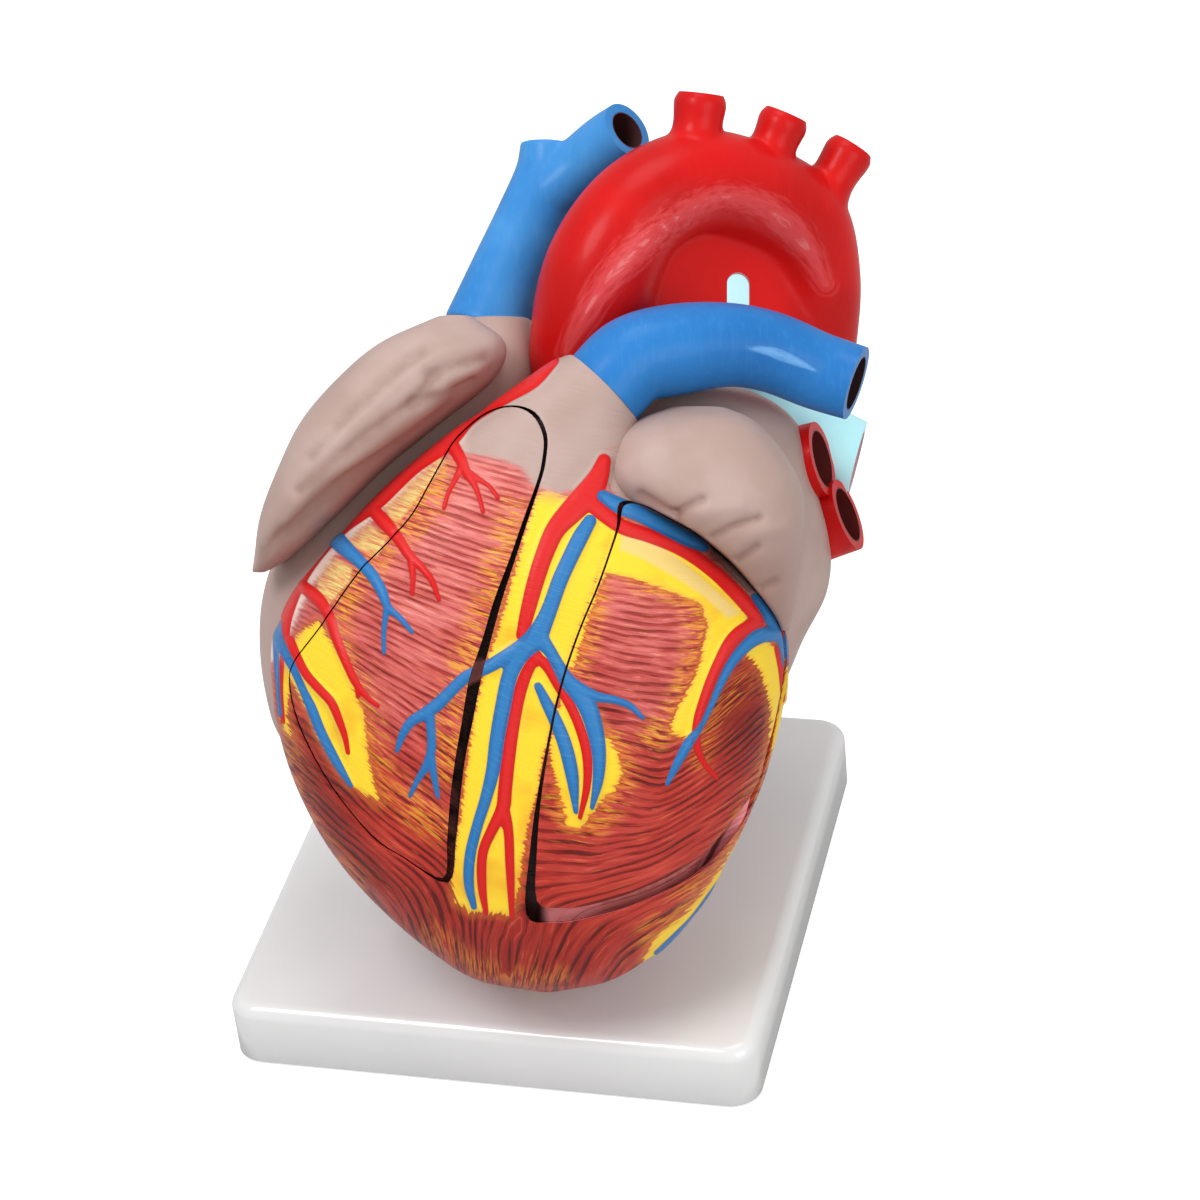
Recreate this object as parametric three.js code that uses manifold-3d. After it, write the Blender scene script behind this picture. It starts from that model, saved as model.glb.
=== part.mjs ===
// An enlarged teaching heart on a square stand, in millimetres, with +Z up.
// The origin is the middle of the stand's underside.
// The heart is built lying flat in its own frame, where X is the viewer's right, Y is up the heart
// and Z points at the viewer. It is then leaned back over the stand.
import * as THREE from "three";
import { mergeVertices } from "three/addons/utils/BufferGeometryUtils.js";
import Module from "manifold-3d";

const wasm = await Module();
wasm.setup();

// Stand
const STAND_WIDTH = 260;
const STAND_DEPTH = 260;
const STAND_HEIGHT = 35;
const STAND_CORNER = 14;
const STAND_EDGE_ROUND = 7;
const PAD_THICKNESS = 2.5;
const PAD_INSET = 3;

// Height of the heart's centre over the floor. The post follows it.
const HEART_HEIGHT = 226;

// Post and its fastening
const POST_TOP_UNDER_HEART_CENTRE = 60;
const POST_DIAMETER = 16;
const POST_TOP_HEIGHT = HEART_HEIGHT - POST_TOP_UNDER_HEART_CENTRE;
const POST_FLAT_DEPTH = 2.2;
const POST_FLAT_LENGTH = 46;
const POST_COLLAR_DIAMETER = 30;
const POST_COLLAR_HEIGHT = 5;
const POST_TURNING_CLEARANCE = 0.4;
const SOCKET_WALL = 4;
const SOCKET_CLEARANCE = 0.4;
const SCREW_HEAD_DIAMETER = 13;
const SCREW_HEAD_HEIGHT = 6;
const SCREW_DIAMETER = 7;
const SCREW_LENGTH = 22;
const WASHER_DIAMETER = 30;
const WASHER_THICKNESS = 2.5;

// How the heart sits over the stand
const HEART_TURN = 16.6;
const HEART_LEAN = 54.6;
const HEART_ROLL = -6.2;
const HEART_CENTRE = new THREE.Vector3(27.4, -10.6, HEART_HEIGHT);

// Walls and clearances of the heart
const SEAM = 0.4;
const SHELL_WALL = 14;
const CHAMBER_WALL_THICKNESS = 9;
const LEDGE_WIDTH = 8;
const RIGHT_WALL_SEAM = 1.4;
const LEFT_WALL_SEAM = 1.0;
const RIGHT_WALL_BACK_SLOPE = 0.37;
const RIGHT_WALL_BACK_HEIGHT = 12;
const LEFT_WALL_BACK_HEIGHT = 20;
const SEPTUM_THICKNESS = 14;
const SOCKET_BOSS_WALL = 7;
const VESSEL_WALL = 5;
const BORE_RUN_OUT = 12;
const AORTA_BORE_RUN_OUT = 30;
const ATRIUM_RECESS_DEPTH = 22;
const ATRIUM_PARTING_X = -12;
const PARTING_CUT_WIDTH = 300;
const PARTING_CUT_DEPTH = 400;
const PEG_DIAMETER = 4;
const PEG_CLEARANCE = 0.4;
const PROBE_WIDTH = 0.4;
const PROBE_HEIGHT = 300;
const PEG_HOLE_BEHIND = 14;
const PEG_IN_WALL = 5;
const PEG_IN_LEDGE = 3;

// Facets of round shapes
const BODY_SIDES = 22;
const BODY_POWER = 2.35;
const SOFT_SIDES = 16;
const SOFT_POWER = 2.25;
const VESSEL_SIDES = 12;
const POST_SIDES = 20;
const BORE_SIDES = 8;
const PEG_SIDES = 6;

// Ventricles from the apex upwards: height, left edge, right edge, front, back
const VENTRICLES = [
  [-201, -10, -2, 4, -4],
  [-196, -36, 22, 22, -20],
  [-184, -57, 42, 38, -34],
  [-161, -84, 64, 55, -52],
  [-137, -105, 79, 66, -66],
  [-113, -119, 91, 73, -76],
  [-90, -128, 99, 78, -83],
  [-66, -133, 104, 81, -86],
  [-43, -133, 105, 83, -84],
  [-19, -124, 99, 84, -76],
  [0, -110, 80, 83, -64],
  [19, -92, 58, 80, -48],
  [38, -72, 42, 76, -30],
  [57, -48, 38, 71, -12],
  [75, -22, 38, 66, 6],
  [92, 2, 36, 60, 18],
];
const VENTRICLE_LEVELS = [-201, -197, -186, -165, -136, -102, -66, -34, -6, 20, 46, 70, 92];

const INSIDE_LEVELS = [-201, -190, -170, -142, -106, -68, -32, 2, 36, 64, 92];

// Right atrium: height, left edge, right edge, front, back
const RIGHT_ATRIUM = [
  [-92, -124, -96, -30, -62],
  [-84, -134, -82, -8, -84],
  [-66, -140, -64, 8, -94],
  [-40, -143, -52, 20, -98],
  [-15, -141, -40, 24, -98],
  [10, -132, -30, 24, -96],
  [35, -116, -22, 22, -92],
  [60, -96, -14, 18, -84],
  [85, -72, -10, 8, -70],
  [104, -56, -12, -6, -58],
  [115, -51, -14, -14, -54],
];
const RIGHT_ATRIUM_LEVELS = [-92, -84, -60, -20, 24, 70, 102, 115];

// Left atrium: height, left edge, right edge, front, back
const LEFT_ATRIUM = [
  [-66, 80, 100, -38, -64],
  [-58, 66, 107, -18, -84],
  [-38, 30, 115.5, 6, -98],
  [-14, 6, 127, 20, -104],
  [12, -8, 128, 28, -106],
  [36, -12, 121, 30, -104],
  [56, -4, 117, 24, -96],
  [70, 14, 108, 14, -86],
  [80, 30, 92, 0, -74],
  [84, 46, 78, -20, -60],
];
const LEFT_ATRIUM_LEVELS = [-66, -58, -34, 2, 40, 66, 77, 84];

// Right auricle: height, left edge, right edge, front, back
const RIGHT_AURICLE = [
  [-6, -142, -136, 22, 10],
  [0, -141, -126, 34, -4],
  [20, -137.5, -103, 52, -14],
  [42, -129, -80, 62, -18],
  [64, -118, -53, 64, -18],
  [84, -101, -29.5, 58, -16],
  [100, -82, -25, 46, -10],
  [112, -56, -40, 30, 4],
];
const RIGHT_AURICLE_LEVELS = [-6, 4, 28, 56, 80, 98, 112];

// Left auricle: height, left edge, right edge, front, back
const LEFT_AURICLE = [
  [-33, 99, 106, 30, 10],
  [-22, 92, 108.5, 44, 2],
  [-10, 84, 110, 57, -4],
  [1, 75, 111.5, 68, -12],
  [14, 58, 112.5, 76, -14],
  [26, 38, 112, 79, -14],
  [35, 22, 110, 80, -12],
  [46, 19.5, 104, 78, -8],
  [56, 24, 97, 72, -6],
  [64, 36, 88, 62, 0],
  [69.5, 50, 76, 44, 14],
];
const LEFT_AURICLE_LEVELS = [-33, -22, -8, 10, 30, 42, 58, 69.5];

// Outline of the right ventricle's lift-off wall, seen from the front
const RIGHT_WALL_OUTLINE = [
  [-50, -145],
  [-70, -135],
  [-88, -121],
  [-105, -100],
  [-117, -78],
  [-122, -60],
  [-121, -46],
  [-108, -29],
  [-91, -6],
  [-76, 9],
  [-64, 24],
  [-54, 44],
  [-44, 58],
  [-33, 66],
  [-21, 69],
  [-11, 62],
  [-7, 50],
  [-9, 35],
  [-15, 12],
  [-25, -18],
  [-33, -46],
  [-38.5, -72],
  [-43.5, -100],
  [-47.5, -126],
];

// Outline of the left ventricle's lift-off wall, seen from the front
const LEFT_WALL_OUTLINE = [
  [28, 25],
  [44, 19],
  [62, 8],
  [80, -7],
  [92, -22],
  [99, -40],
  [101, -60],
  [96, -84],
  [86, -106],
  [64, -132],
  [37, -147],
  [14, -155],
  [0, -157],
  [-11, -153],
  [-12, -130],
  [-9, -108],
  [-5, -85],
  [1, -59],
  [11.5, -26],
  [23, 4],
];

// Middle line of the wall between the ventricles, seen from the front
const SEPTUM_LINE = [
  [-34, -200],
  [-32, -149],
  [-26, -99],
  [-17, -59],
  [-4, -24],
  [6, 4],
  [16, 22],
  [36, 32],
  [80, 38],
];

// Locating pegs of the two walls, seen from the front
const RIGHT_WALL_PEGS = [
  [-116, -58],
  [-18, 61],
  [-53, -138],
];
const LEFT_WALL_PEGS = [
  [46, 12],
  [4, -151],
];

// Vessels: points on the middle line with a radius
const AORTA = [
  [16, 26, -58, 26],
  [15, 50, -44, 28],
  [14, 76, -27, 28],
  [14, 106, -8, 28],
  [20, 136, 2, 27],
  [37, 163, 1, 25],
  [64, 178, -12, 24],
  [93, 174.5, -32, 23.5],
  [114, 163, -52, 24],
  [123, 138, -68, 22],
  [124, 112, -80, 20.5],
  [122, 88, -90, 19],
  [112, 48, -100, 18],
];
const ARCH_WEB_OUTLINE = [
  [20, 108],
  [20, 150],
  [48, 166],
  [76, 170],
  [104, 160],
  [122, 134],
  [122, 108],
];
const ARCH_WEB_THICKNESS = 8;
const ARCH_WEB_SLANT = -0.68;
const ARCH_WEB_BACK = 18;
const ARCH_WEB_GAP = { x: 84.3, top: 136.8, bottom: 112, width: 11 };
const AORTIC_BRANCHES = [
  { name: "brachiocephalic", from: [62, 184, -9], to: [66, 218, -6], radius: 12 },
  { name: "carotid", from: [94, 181, -30], to: [107, 211.5, -28], radius: 11.5 },
  { name: "subclavian", from: [119, 166, -50], to: [140, 199, -50], radius: 11.5 },
];
const SUPERIOR_VENA_CAVA = [
  [-36, 109, -34, 20.5],
  [-26, 136, -38, 18],
  [-14, 164, -44, 17],
  [-7, 186, -48, 15],
  [-6, 200, -49, 13.5],
];
const RIGHT_BRANCH_OF_CAVA = [
  [-14, 168, -44, 14],
  [8, 187, -42, 14.5],
  [22, 198, -34, 14.5],
  [31.5, 203.5, -25, 14],
];
const INFERIOR_VENA_CAVA = [
  [-92, -58, -72, 17],
  [-88, -84, -86, 17],
  [-84, -106, -96, 17],
];
const PULMONARY_TRUNK = [
  [20, 77, 43, 20.5],
  [33, 90, 41, 20.5],
  [52, 95.5, 34, 21],
  [78, 98.5, 25, 19.3],
  [97, 95.8, 18, 18.6],
  [119, 87.5, 12, 18],
  [128, 84.5, 12.5, 17.8],
  [137, 81.5, 14.5, 17.5],
];
const RIGHT_PULMONARY_ARTERY = [
  [66, 100, 22, 15],
  [48, 101, -28, 15],
  [22, 103, -66, 14],
  [-8, 105, -80, 13],
  [-44, 104, -84, 13],
];
const WINDPIPE = [
  [74, 166, -92, 14],
  [84, 134, -76, 14],
  [90, 104, -80, 14],
];
const LEFT_BRONCHUS = [
  [88, 112, -80, 12],
  [100, 84, -72, 15],
  [118, 62, -60, 19],
  [142, 47, -58, 20.5],
];
const RIGHT_BRONCHUS = [
  [92, 112, -84, 11],
  [60, 84, -104, 11],
  [20, 62, -116, 11],
];
const LEFT_PULMONARY_VEINS = [
  { name: "upper", from: [88, 40, -36], to: [123.6, 48.1, -23], radius: 18 },
  { name: "lower", from: [98, 8, -48], to: [136.5, 22, -33], radius: 17.6 },
];
const RIGHT_PULMONARY_VEINS = [
  { name: "upper", from: [20, 40, -78], to: [-40, 46, -114], radius: 13 },
  { name: "lower", from: [20, 8, -80], to: [-38, 10, -118], radius: 13 },
];

// Coronary vessels that stand up from the ventricles: points seen from the front, then a radius
const CORONARY_VESSELS = [
  { path: [[0, 88], [-24, 76], [-48, 55], [-67, 37], [-84, 18], [-101, 2], [-115, -15], [-123, -32]], radius: 5 },
  { path: [[-51, 52], [-43, 40], [-37, 30], [-31, 22]], radius: 3.2 },
  { path: [[-85, 17], [-71, 6], [-61, -8], [-53, -18]], radius: 3.6 },
  { path: [[-113, -18], [-102, -33], [-92, -51], [-86, -66]], radius: 3.4 },
  { path: [[-119, -38], [-107, -54], [-99, -69], [-95, -86]], radius: 3.2 },
  { path: [[-104, 4], [-95, 2], [-83, -6], [-71, -20], [-66, -34]], radius: 4 },
  { path: [[-124, -40], [-118, -58], [-108, -80], [-94, -101]], radius: 3.4 },
  { path: [[-32, -50], [-43, -54], [-53, -64], [-64, -74], [-71, -86]], radius: 3.8 },
  { path: [[-56, -67], [-60, -85], [-66, -105]], radius: 3.2 },
  { path: [[22, 44], [11, 26], [1, 6], [-6, -10], [-10, -30]], radius: 5 },
  { path: [[-8, -42], [-13, -59], [-20, -76], [-24, -99], [-26, -119], [-31, -137], [-35, -160]], radius: 4 },
  { path: [[-25, -116], [-22, -135], [-21, -161]], radius: 3.4 },
  { path: [[13, 14], [5, -5], [-4, -25], [-10, -38], [-17, -53], [-25, -76], [-30, -99], [-36, -121], [-40, -140], [-38, -158]], radius: 4.4 },
  { path: [[-10, -38], [-20, -45], [-32, -50]], radius: 3.8 },
  { path: [[-9, -35], [-1, -45], [6, -59], [15, -68], [18, -85], [15, -112]], radius: 4.2 },
  { path: [[8, -60], [25, -64], [37, -70]], radius: 3 },
  { path: [[-8, -59], [1, -76], [5, -94], [7, -112]], radius: 3.2 },
  { path: [[-5, -50], [8, -70], [12, -92], [11, -116]], radius: 3.2 },
  { path: [[15, 25], [37, 16], [59, 5], [76, -9], [87, -26]], radius: 4.4 },
  { path: [[86, -25], [74, -46], [65, -63], [63, -79], [70, -98]], radius: 3.2 },
  { path: [[22, 26], [41, 18], [66, 6]], radius: 5 },
  { path: [[89, -18], [97, -31], [101, -44]], radius: 3.6 },
  { path: [[96, -34], [82, -43], [70, -61], [60, -79], [50, -101]], radius: 3.6 },
];

const RED = 0xd3201f;
const BLUE = 0x3e8dd2;
const BEIGE = 0xc5a9a3;
const MUSCLE = 0x9c3a30;
const PALE_CYAN = 0xb3f0f6;
const WHITE = 0xdedede;

const part = new THREE.Group();
part.name = "heart_model";

function material(colour, roughness, metalness = 0) {
  return new THREE.MeshStandardMaterial({ color: colour, roughness, metalness });
}

const paintedMuscle = material(MUSCLE, 0.38);
const paintedAtrium = material(BEIGE, 0.4);
const redGloss = material(RED, 0.2);
const blueGloss = material(BLUE, 0.25);
const cyanGloss = material(PALE_CYAN, 0.35);
const whiteGloss = material(WHITE, 0.25);
const steel = material(0xc4c6c8, 0.3, 1);
const ivory = material(0xe6d9c4, 0.5);
const padFoam = material(0x4a4a4c, 0.9);
const whiteNylon = material(0xe8e8e4, 0.5);

// Turns a three.js geometry into a solid for cutting and joining.
function solidOf(geometry) {
  const bare = geometry.clone();
  bare.deleteAttribute("normal");
  bare.deleteAttribute("uv");
  const merged = mergeVertices(bare, 1e-4);
  const mesh = new wasm.Mesh({
    numProp: 3,
    vertProperties: new Float32Array(merged.attributes.position.array),
    triVerts: new Uint32Array(merged.index.array),
  });
  const solid = new wasm.Manifold(mesh);
  if (solid.volume() >= 0) return solid;
  const flipped = new Uint32Array(merged.index.array);
  for (let i = 0; i < flipped.length; i += 3) {
    const kept = flipped[i + 1];
    flipped[i + 1] = flipped[i + 2];
    flipped[i + 2] = kept;
  }
  return new wasm.Manifold(
    new wasm.Mesh({
      numProp: 3,
      vertProperties: new Float32Array(merged.attributes.position.array),
      triVerts: flipped,
    }),
  );
}

// Turns a solid back into a three.js geometry.
function geometryOf(solid) {
  const mesh = solid.getMesh();
  const positions = new Float32Array(mesh.numVert * 3);
  for (let i = 0; i < mesh.numVert; i += 1) {
    const at = i * mesh.numProp;
    positions.set(mesh.vertProperties.subarray(at, at + 3), i * 3);
  }
  const geometry = new THREE.BufferGeometry();
  geometry.setAttribute("position", new THREE.BufferAttribute(positions, 3));
  geometry.setIndex(new THREE.BufferAttribute(new Uint32Array(mesh.triVerts), 1));
  geometry.computeVertexNormals();
  return geometry;
}

function biggestBody(solid) {
  const bodies = solid.decompose();
  return bodies.reduce((best, body) => (body.volume() > best.volume() ? body : best));
}

function addPart(name, solid, look) {
  const mesh = new THREE.Mesh(geometryOf(biggestBody(solid)), look);
  mesh.name = name;
  part.add(mesh);
}

const heartPlacement = new THREE.Matrix4()
  .makeTranslation(HEART_CENTRE)
  .multiply(new THREE.Matrix4().makeRotationZ(THREE.MathUtils.degToRad(HEART_TURN)))
  .multiply(new THREE.Matrix4().makeRotationX(THREE.MathUtils.degToRad(HEART_LEAN)))
  .multiply(new THREE.Matrix4().makeRotationZ(THREE.MathUtils.degToRad(HEART_ROLL)));
const intoHeart = heartPlacement.clone().invert();

function addHeartPart(name, solid, look) {
  addPart(name, solid.transform(heartPlacement.elements), look);
}

function vector([x, y, z]) {
  return new THREE.Vector3(x, y, z);
}

// Value of one column of a station list at a height, eased from station to station.
function valueAt(stations, column, height) {
  const last = stations.length - 1;
  let i = 0;
  while (i < last - 1 && stations[i + 1][0] < height) i += 1;
  const slope = (k) => {
    const before = stations[Math.max(k - 1, 0)];
    const after = stations[Math.min(k + 1, last)];
    return (after[column] - before[column]) / (after[0] - before[0]);
  };
  const [from, to] = [stations[i], stations[i + 1]];
  const span = to[0] - from[0];
  const t = THREE.MathUtils.clamp((height - from[0]) / span, 0, 1);
  const a = 2 * t ** 3 - 3 * t ** 2 + 1;
  const b = t ** 3 - 2 * t ** 2 + t;
  const c = -2 * t ** 3 + 3 * t ** 2;
  const d = t ** 3 - t ** 2;
  return a * from[column] + b * span * slope(i) + c * to[column] + d * span * slope(i + 1);
}

function sectionAt(stations, height) {
  const [left, right, front, back] = [1, 2, 3, 4].map((column) => valueAt(stations, column, height));
  return {
    midX: (left + right) / 2,
    halfX: (right - left) / 2,
    midZ: (front + back) / 2,
    halfZ: (front - back) / 2,
  };
}

// Closed body through a list of rings that all hold the same number of points.
function bodyThroughRings(rings) {
  const count = rings[0].length;
  const positions = [];
  rings.forEach((ring) => ring.forEach((point) => positions.push(point.x, point.y, point.z)));
  const index = [];
  for (let r = 0; r < rings.length - 1; r += 1) {
    for (let i = 0; i < count; i += 1) {
      const j = (i + 1) % count;
      const [a, b] = [r * count + i, r * count + j];
      const [c, d] = [a + count, b + count];
      index.push(a, b, d, a, d, c);
    }
  }
  [0, rings.length - 1].forEach((r, end) => {
    const centre = new THREE.Vector3();
    rings[r].forEach((point) => centre.add(point));
    centre.divideScalar(count);
    const hub = positions.length / 3;
    positions.push(centre.x, centre.y, centre.z);
    for (let i = 0; i < count; i += 1) {
      const j = (i + 1) % count;
      if (end === 0) index.push(hub, r * count + j, r * count + i);
      else index.push(hub, r * count + i, r * count + j);
    }
  });
  const geometry = new THREE.BufferGeometry();
  geometry.setAttribute("position", new THREE.Float32BufferAttribute(positions, 3));
  geometry.setIndex(index);
  return solidOf(geometry);
}

// Soft body through station sections, drawn in by an inset all round, or grown by a negative one.
function softBody(stations, levels, inset, sides, power) {
  const [low, high] = [levels[0], levels[levels.length - 1]];
  const shrink = (high - low - 2 * inset) / (high - low);
  const middle = (high + low) / 2;
  const rings = levels.map((level) => {
    const height = middle + (level - middle) * shrink;
    const section = sectionAt(stations, THREE.MathUtils.clamp(height, low, high));
    const halfX = Math.max(section.halfX - inset, 1);
    const halfZ = Math.max(section.halfZ - inset, 1);
    const ring = [];
    for (let i = 0; i < sides; i += 1) {
      const angle = (i / sides) * Math.PI * 2;
      const [cos, sin] = [Math.cos(angle), Math.sin(angle)];
      const x = section.midX + halfX * Math.sign(cos) * Math.abs(cos) ** (2 / power);
      const z = section.midZ + halfZ * Math.sign(sin) * Math.abs(sin) ** (2 / power);
      ring.push(new THREE.Vector3(x, height, z));
    }
    return ring;
  });
  return bodyThroughRings(rings);
}

function curveThrough(points) {
  return new THREE.CatmullRomCurve3(points.map(vector), false, "centripetal");
}

// Round body along a curve, with a radius that eases between its points.
function vessel(points, grow = 0, sides = VESSEL_SIDES, steps = 12) {
  const curve = curveThrough(points);
  const rings = [];
  const normal = new THREE.Vector3();
  for (let i = 0; i <= steps; i += 1) {
    const t = i / steps;
    const centre = curve.getPoint(t);
    const along = curve.getTangent(t);
    if (i === 0) normal.set(0, 0, 1);
    if (i === 0 && Math.abs(along.z) > 0.9) normal.set(1, 0, 0);
    normal.addScaledVector(along, -normal.dot(along)).normalize();
    const across = new THREE.Vector3().crossVectors(along, normal);
    const place = t * (points.length - 1);
    const k = Math.min(Math.floor(place), points.length - 2);
    const radius = THREE.MathUtils.lerp(points[k][3], points[k + 1][3], place - k) + grow;
    const ring = [];
    for (let s = 0; s < sides; s += 1) {
      const angle = (s / sides) * Math.PI * 2;
      ring.push(
        centre
          .clone()
          .addScaledVector(normal, radius * Math.cos(angle))
          .addScaledVector(across, radius * Math.sin(angle)),
      );
    }
    rings.push(ring);
  }
  return bodyThroughRings(rings);
}

// Carries a vessel's first and last points on by a length, so that its bore runs out of the ends.
function extended(points, atStart, atEnd) {
  const carry = (from, to, length) => {
    const way = vector(to).sub(vector(from)).normalize().multiplyScalar(length);
    return [to[0] + way.x, to[1] + way.y, to[2] + way.z, to[3]];
  };
  const last = points.length - 1;
  const start = atStart ? [carry(points[1], points[0], atStart)] : [];
  const end = atEnd ? [carry(points[last - 1], points[last], atEnd)] : [];
  return [...start, ...points, ...end];
}

// Straight round rod between two points, with its own radius at each end.
function rod(from, to, startRadius, endRadius = startRadius, sides = 20) {
  const [start, end] = [vector(from), vector(to)];
  const length = start.distanceTo(end);
  const geometry = new THREE.CylinderGeometry(endRadius, startRadius, length, sides);
  const way = end.clone().sub(start).normalize();
  const turn = new THREE.Quaternion().setFromUnitVectors(new THREE.Vector3(0, 1, 0), way);
  geometry.applyQuaternion(turn);
  geometry.translate((start.x + end.x) / 2, (start.y + end.y) / 2, (start.z + end.z) / 2);
  return solidOf(geometry);
}

function box(width, depth, height, x, y, z) {
  const geometry = new THREE.BoxGeometry(width, depth, height);
  geometry.translate(x, y, z + height / 2);
  return solidOf(geometry);
}

// Straight-sided body over a closed outline that is drawn in by an inset.
function prism(outline, inset, bottom, top) {
  const curve = new THREE.CatmullRomCurve3(
    outline.map(([x, y]) => new THREE.Vector3(x, y, 0)),
    true,
    "centripetal",
  );
  const steps = Math.round(outline.length * 1.2);
  const points = [];
  for (let i = 0; i < steps; i += 1) {
    const point = curve.getPoint(i / steps);
    const along = curve.getTangent(i / steps);
    points.push({ x: point.x, y: point.y, nx: along.y, ny: -along.x });
  }
  const area = points.reduce((sum, p, i) => {
    const q = points[(i + 1) % points.length];
    return sum + p.x * q.y - q.x * p.y;
  }, 0);
  const inwards = area > 0 ? -inset : inset;
  const shape = new THREE.Shape(
    points.map((p) => new THREE.Vector2(p.x + p.nx * inwards, p.y + p.ny * inwards)),
  );
  const geometry = new THREE.ExtrudeGeometry(shape, { depth: top - bottom, bevelEnabled: false });
  geometry.translate(0, 0, bottom);
  return solidOf(geometry);
}

// Height of the ventricles' front over a point seen from the front.
function frontOf(x, y, inset = 0) {
  const section = sectionAt(VENTRICLES, y);
  const halfX = section.halfX - inset;
  const halfZ = section.halfZ - inset;
  const share = Math.min(Math.abs((x - section.midX) / halfX), 0.995);
  return section.midZ + halfZ * (1 - share ** BODY_POWER) ** (1 / BODY_POWER);
}

function ventricles(inset) {
  return softBody(VENTRICLES, VENTRICLE_LEVELS, inset, BODY_SIDES, BODY_POWER);
}

function insideOfVentricles(inset) {
  return softBody(VENTRICLES, INSIDE_LEVELS, inset, SOFT_SIDES, BODY_POWER);
}

function unionOf(solids) {
  return solids.reduce((all, solid) => all.add(solid));
}

function coronaryVessels() {
  return unionOf(
    CORONARY_VESSELS.map(({ path, radius }) => {
      const last = path.length - 1;
      const points = path.map(([x, y], i) => {
        const ends = i === 0 || i === last;
        return [x, y, frontOf(x, y) - radius * 0.25, ends ? radius * 0.7 : radius];
      });
      return vessel(points, 0, 5, last);
    }),
  );
}

// The wall between the ventricles, as a bent slab that runs straight back.
function septumSlab(thickness) {
  const curve = new THREE.CatmullRomCurve3(
    SEPTUM_LINE.map(([x, y]) => new THREE.Vector3(x, y, 0)),
    false,
    "centripetal",
  );
  const steps = 20;
  const [near, far] = [[], []];
  for (let i = 0; i <= steps; i += 1) {
    const point = curve.getPoint(i / steps);
    const along = curve.getTangent(i / steps);
    near.push(new THREE.Vector2(point.x - (along.y * thickness) / 2, point.y + (along.x * thickness) / 2));
    far.unshift(new THREE.Vector2(point.x + (along.y * thickness) / 2, point.y - (along.x * thickness) / 2));
  }
  const shape = new THREE.Shape([...near, ...far]);
  const geometry = new THREE.ExtrudeGeometry(shape, { depth: 260, bevelEnabled: false });
  geometry.translate(0, 0, -130);
  return solidOf(geometry);
}

// A point given over the stand, as seen in the heart's own frame.
function standPoint(x, y, z) {
  const point = new THREE.Vector3(x, y, z).applyMatrix4(intoHeart);
  return [point.x, point.y, point.z];
}

// Stand

function roundedRing(width, depth, corner, z) {
  const ring = [];
  const arcs = [
    [width / 2 - corner, depth / 2 - corner, 0],
    [corner - width / 2, depth / 2 - corner, 90],
    [corner - width / 2, corner - depth / 2, 180],
    [width / 2 - corner, corner - depth / 2, 270],
  ];
  arcs.forEach(([x, y, start]) => {
    for (let i = 0; i <= 3; i += 1) {
      const angle = THREE.MathUtils.degToRad(start + i * 30);
      ring.push(new THREE.Vector3(x + corner * Math.cos(angle), y + corner * Math.sin(angle), z));
    }
  });
  return ring;
}

function stand() {
  const bottom = PAD_THICKNESS * 0.4;
  const rings = [roundedRing(STAND_WIDTH, STAND_DEPTH, STAND_CORNER, bottom)];
  for (let i = 0; i <= 4; i += 1) {
    const angle = (i / 4) * (Math.PI / 2);
    const drawn = STAND_EDGE_ROUND * (1 - Math.cos(angle));
    const z = STAND_HEIGHT - STAND_EDGE_ROUND * (1 - Math.sin(angle));
    const size = STAND_WIDTH - 2 * drawn;
    rings.push(roundedRing(size, STAND_DEPTH - 2 * drawn, STAND_CORNER - drawn * 0.5, z));
  }
  const hole = rod([0, 0, -10], [0, 0, 80], POST_DIAMETER / 2 + POST_TURNING_CLEARANCE, undefined, POST_SIDES);
  const screwRoom = rod([0, 0, -10], [0, 0, screwSeat()], WASHER_DIAMETER / 2 + 1.5, undefined, POST_SIDES);
  return bodyThroughRings(rings).subtract(hole).subtract(screwRoom).subtract(padBody(0.3));
}

function screwSeat() {
  return STAND_HEIGHT - 20;
}

function padBody(grow) {
  const width = STAND_WIDTH - 2 * PAD_INSET + 2 * grow;
  const depth = STAND_DEPTH - 2 * PAD_INSET + 2 * grow;
  return bodyThroughRings([
    roundedRing(width, depth, STAND_CORNER - PAD_INSET, grow ? -5 : 0),
    roundedRing(width, depth, STAND_CORNER - PAD_INSET, PAD_THICKNESS + grow),
  ]);
}

function post() {
  const shaftBottom = screwSeat();
  const collarBottom = STAND_HEIGHT + SEAM;
  const shaft = rod([0, 0, shaftBottom], [0, 0, POST_TOP_HEIGHT], POST_DIAMETER / 2, undefined, POST_SIDES);
  const collarTop = collarBottom + POST_COLLAR_HEIGHT;
  const radius = POST_COLLAR_DIAMETER / 2;
  const collar = rod([0, 0, collarBottom], [0, 0, collarTop], radius, radius - 2, POST_SIDES);
  const flatX = POST_DIAMETER / 2 - POST_FLAT_DEPTH + 10;
  const flat = box(20, 40, POST_FLAT_LENGTH + 5, flatX, 0, POST_TOP_HEIGHT - POST_FLAT_LENGTH);
  const thread = rod([0, 0, shaftBottom - 1], [0, 0, threadTop() + 1], SCREW_DIAMETER / 2 + 0.3);
  return shaft.add(collar).subtract(flat).subtract(thread);
}

function threadTop() {
  return screwSeat() - WASHER_THICKNESS + SCREW_LENGTH;
}

function washer() {
  const top = screwSeat() - SEAM;
  const disc = rod([0, 0, top - WASHER_THICKNESS], [0, 0, top], WASHER_DIAMETER / 2, undefined, POST_SIDES);
  return disc.subtract(rod([0, 0, 0], [0, 0, 60], SCREW_DIAMETER / 2 + 0.3));
}

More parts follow.
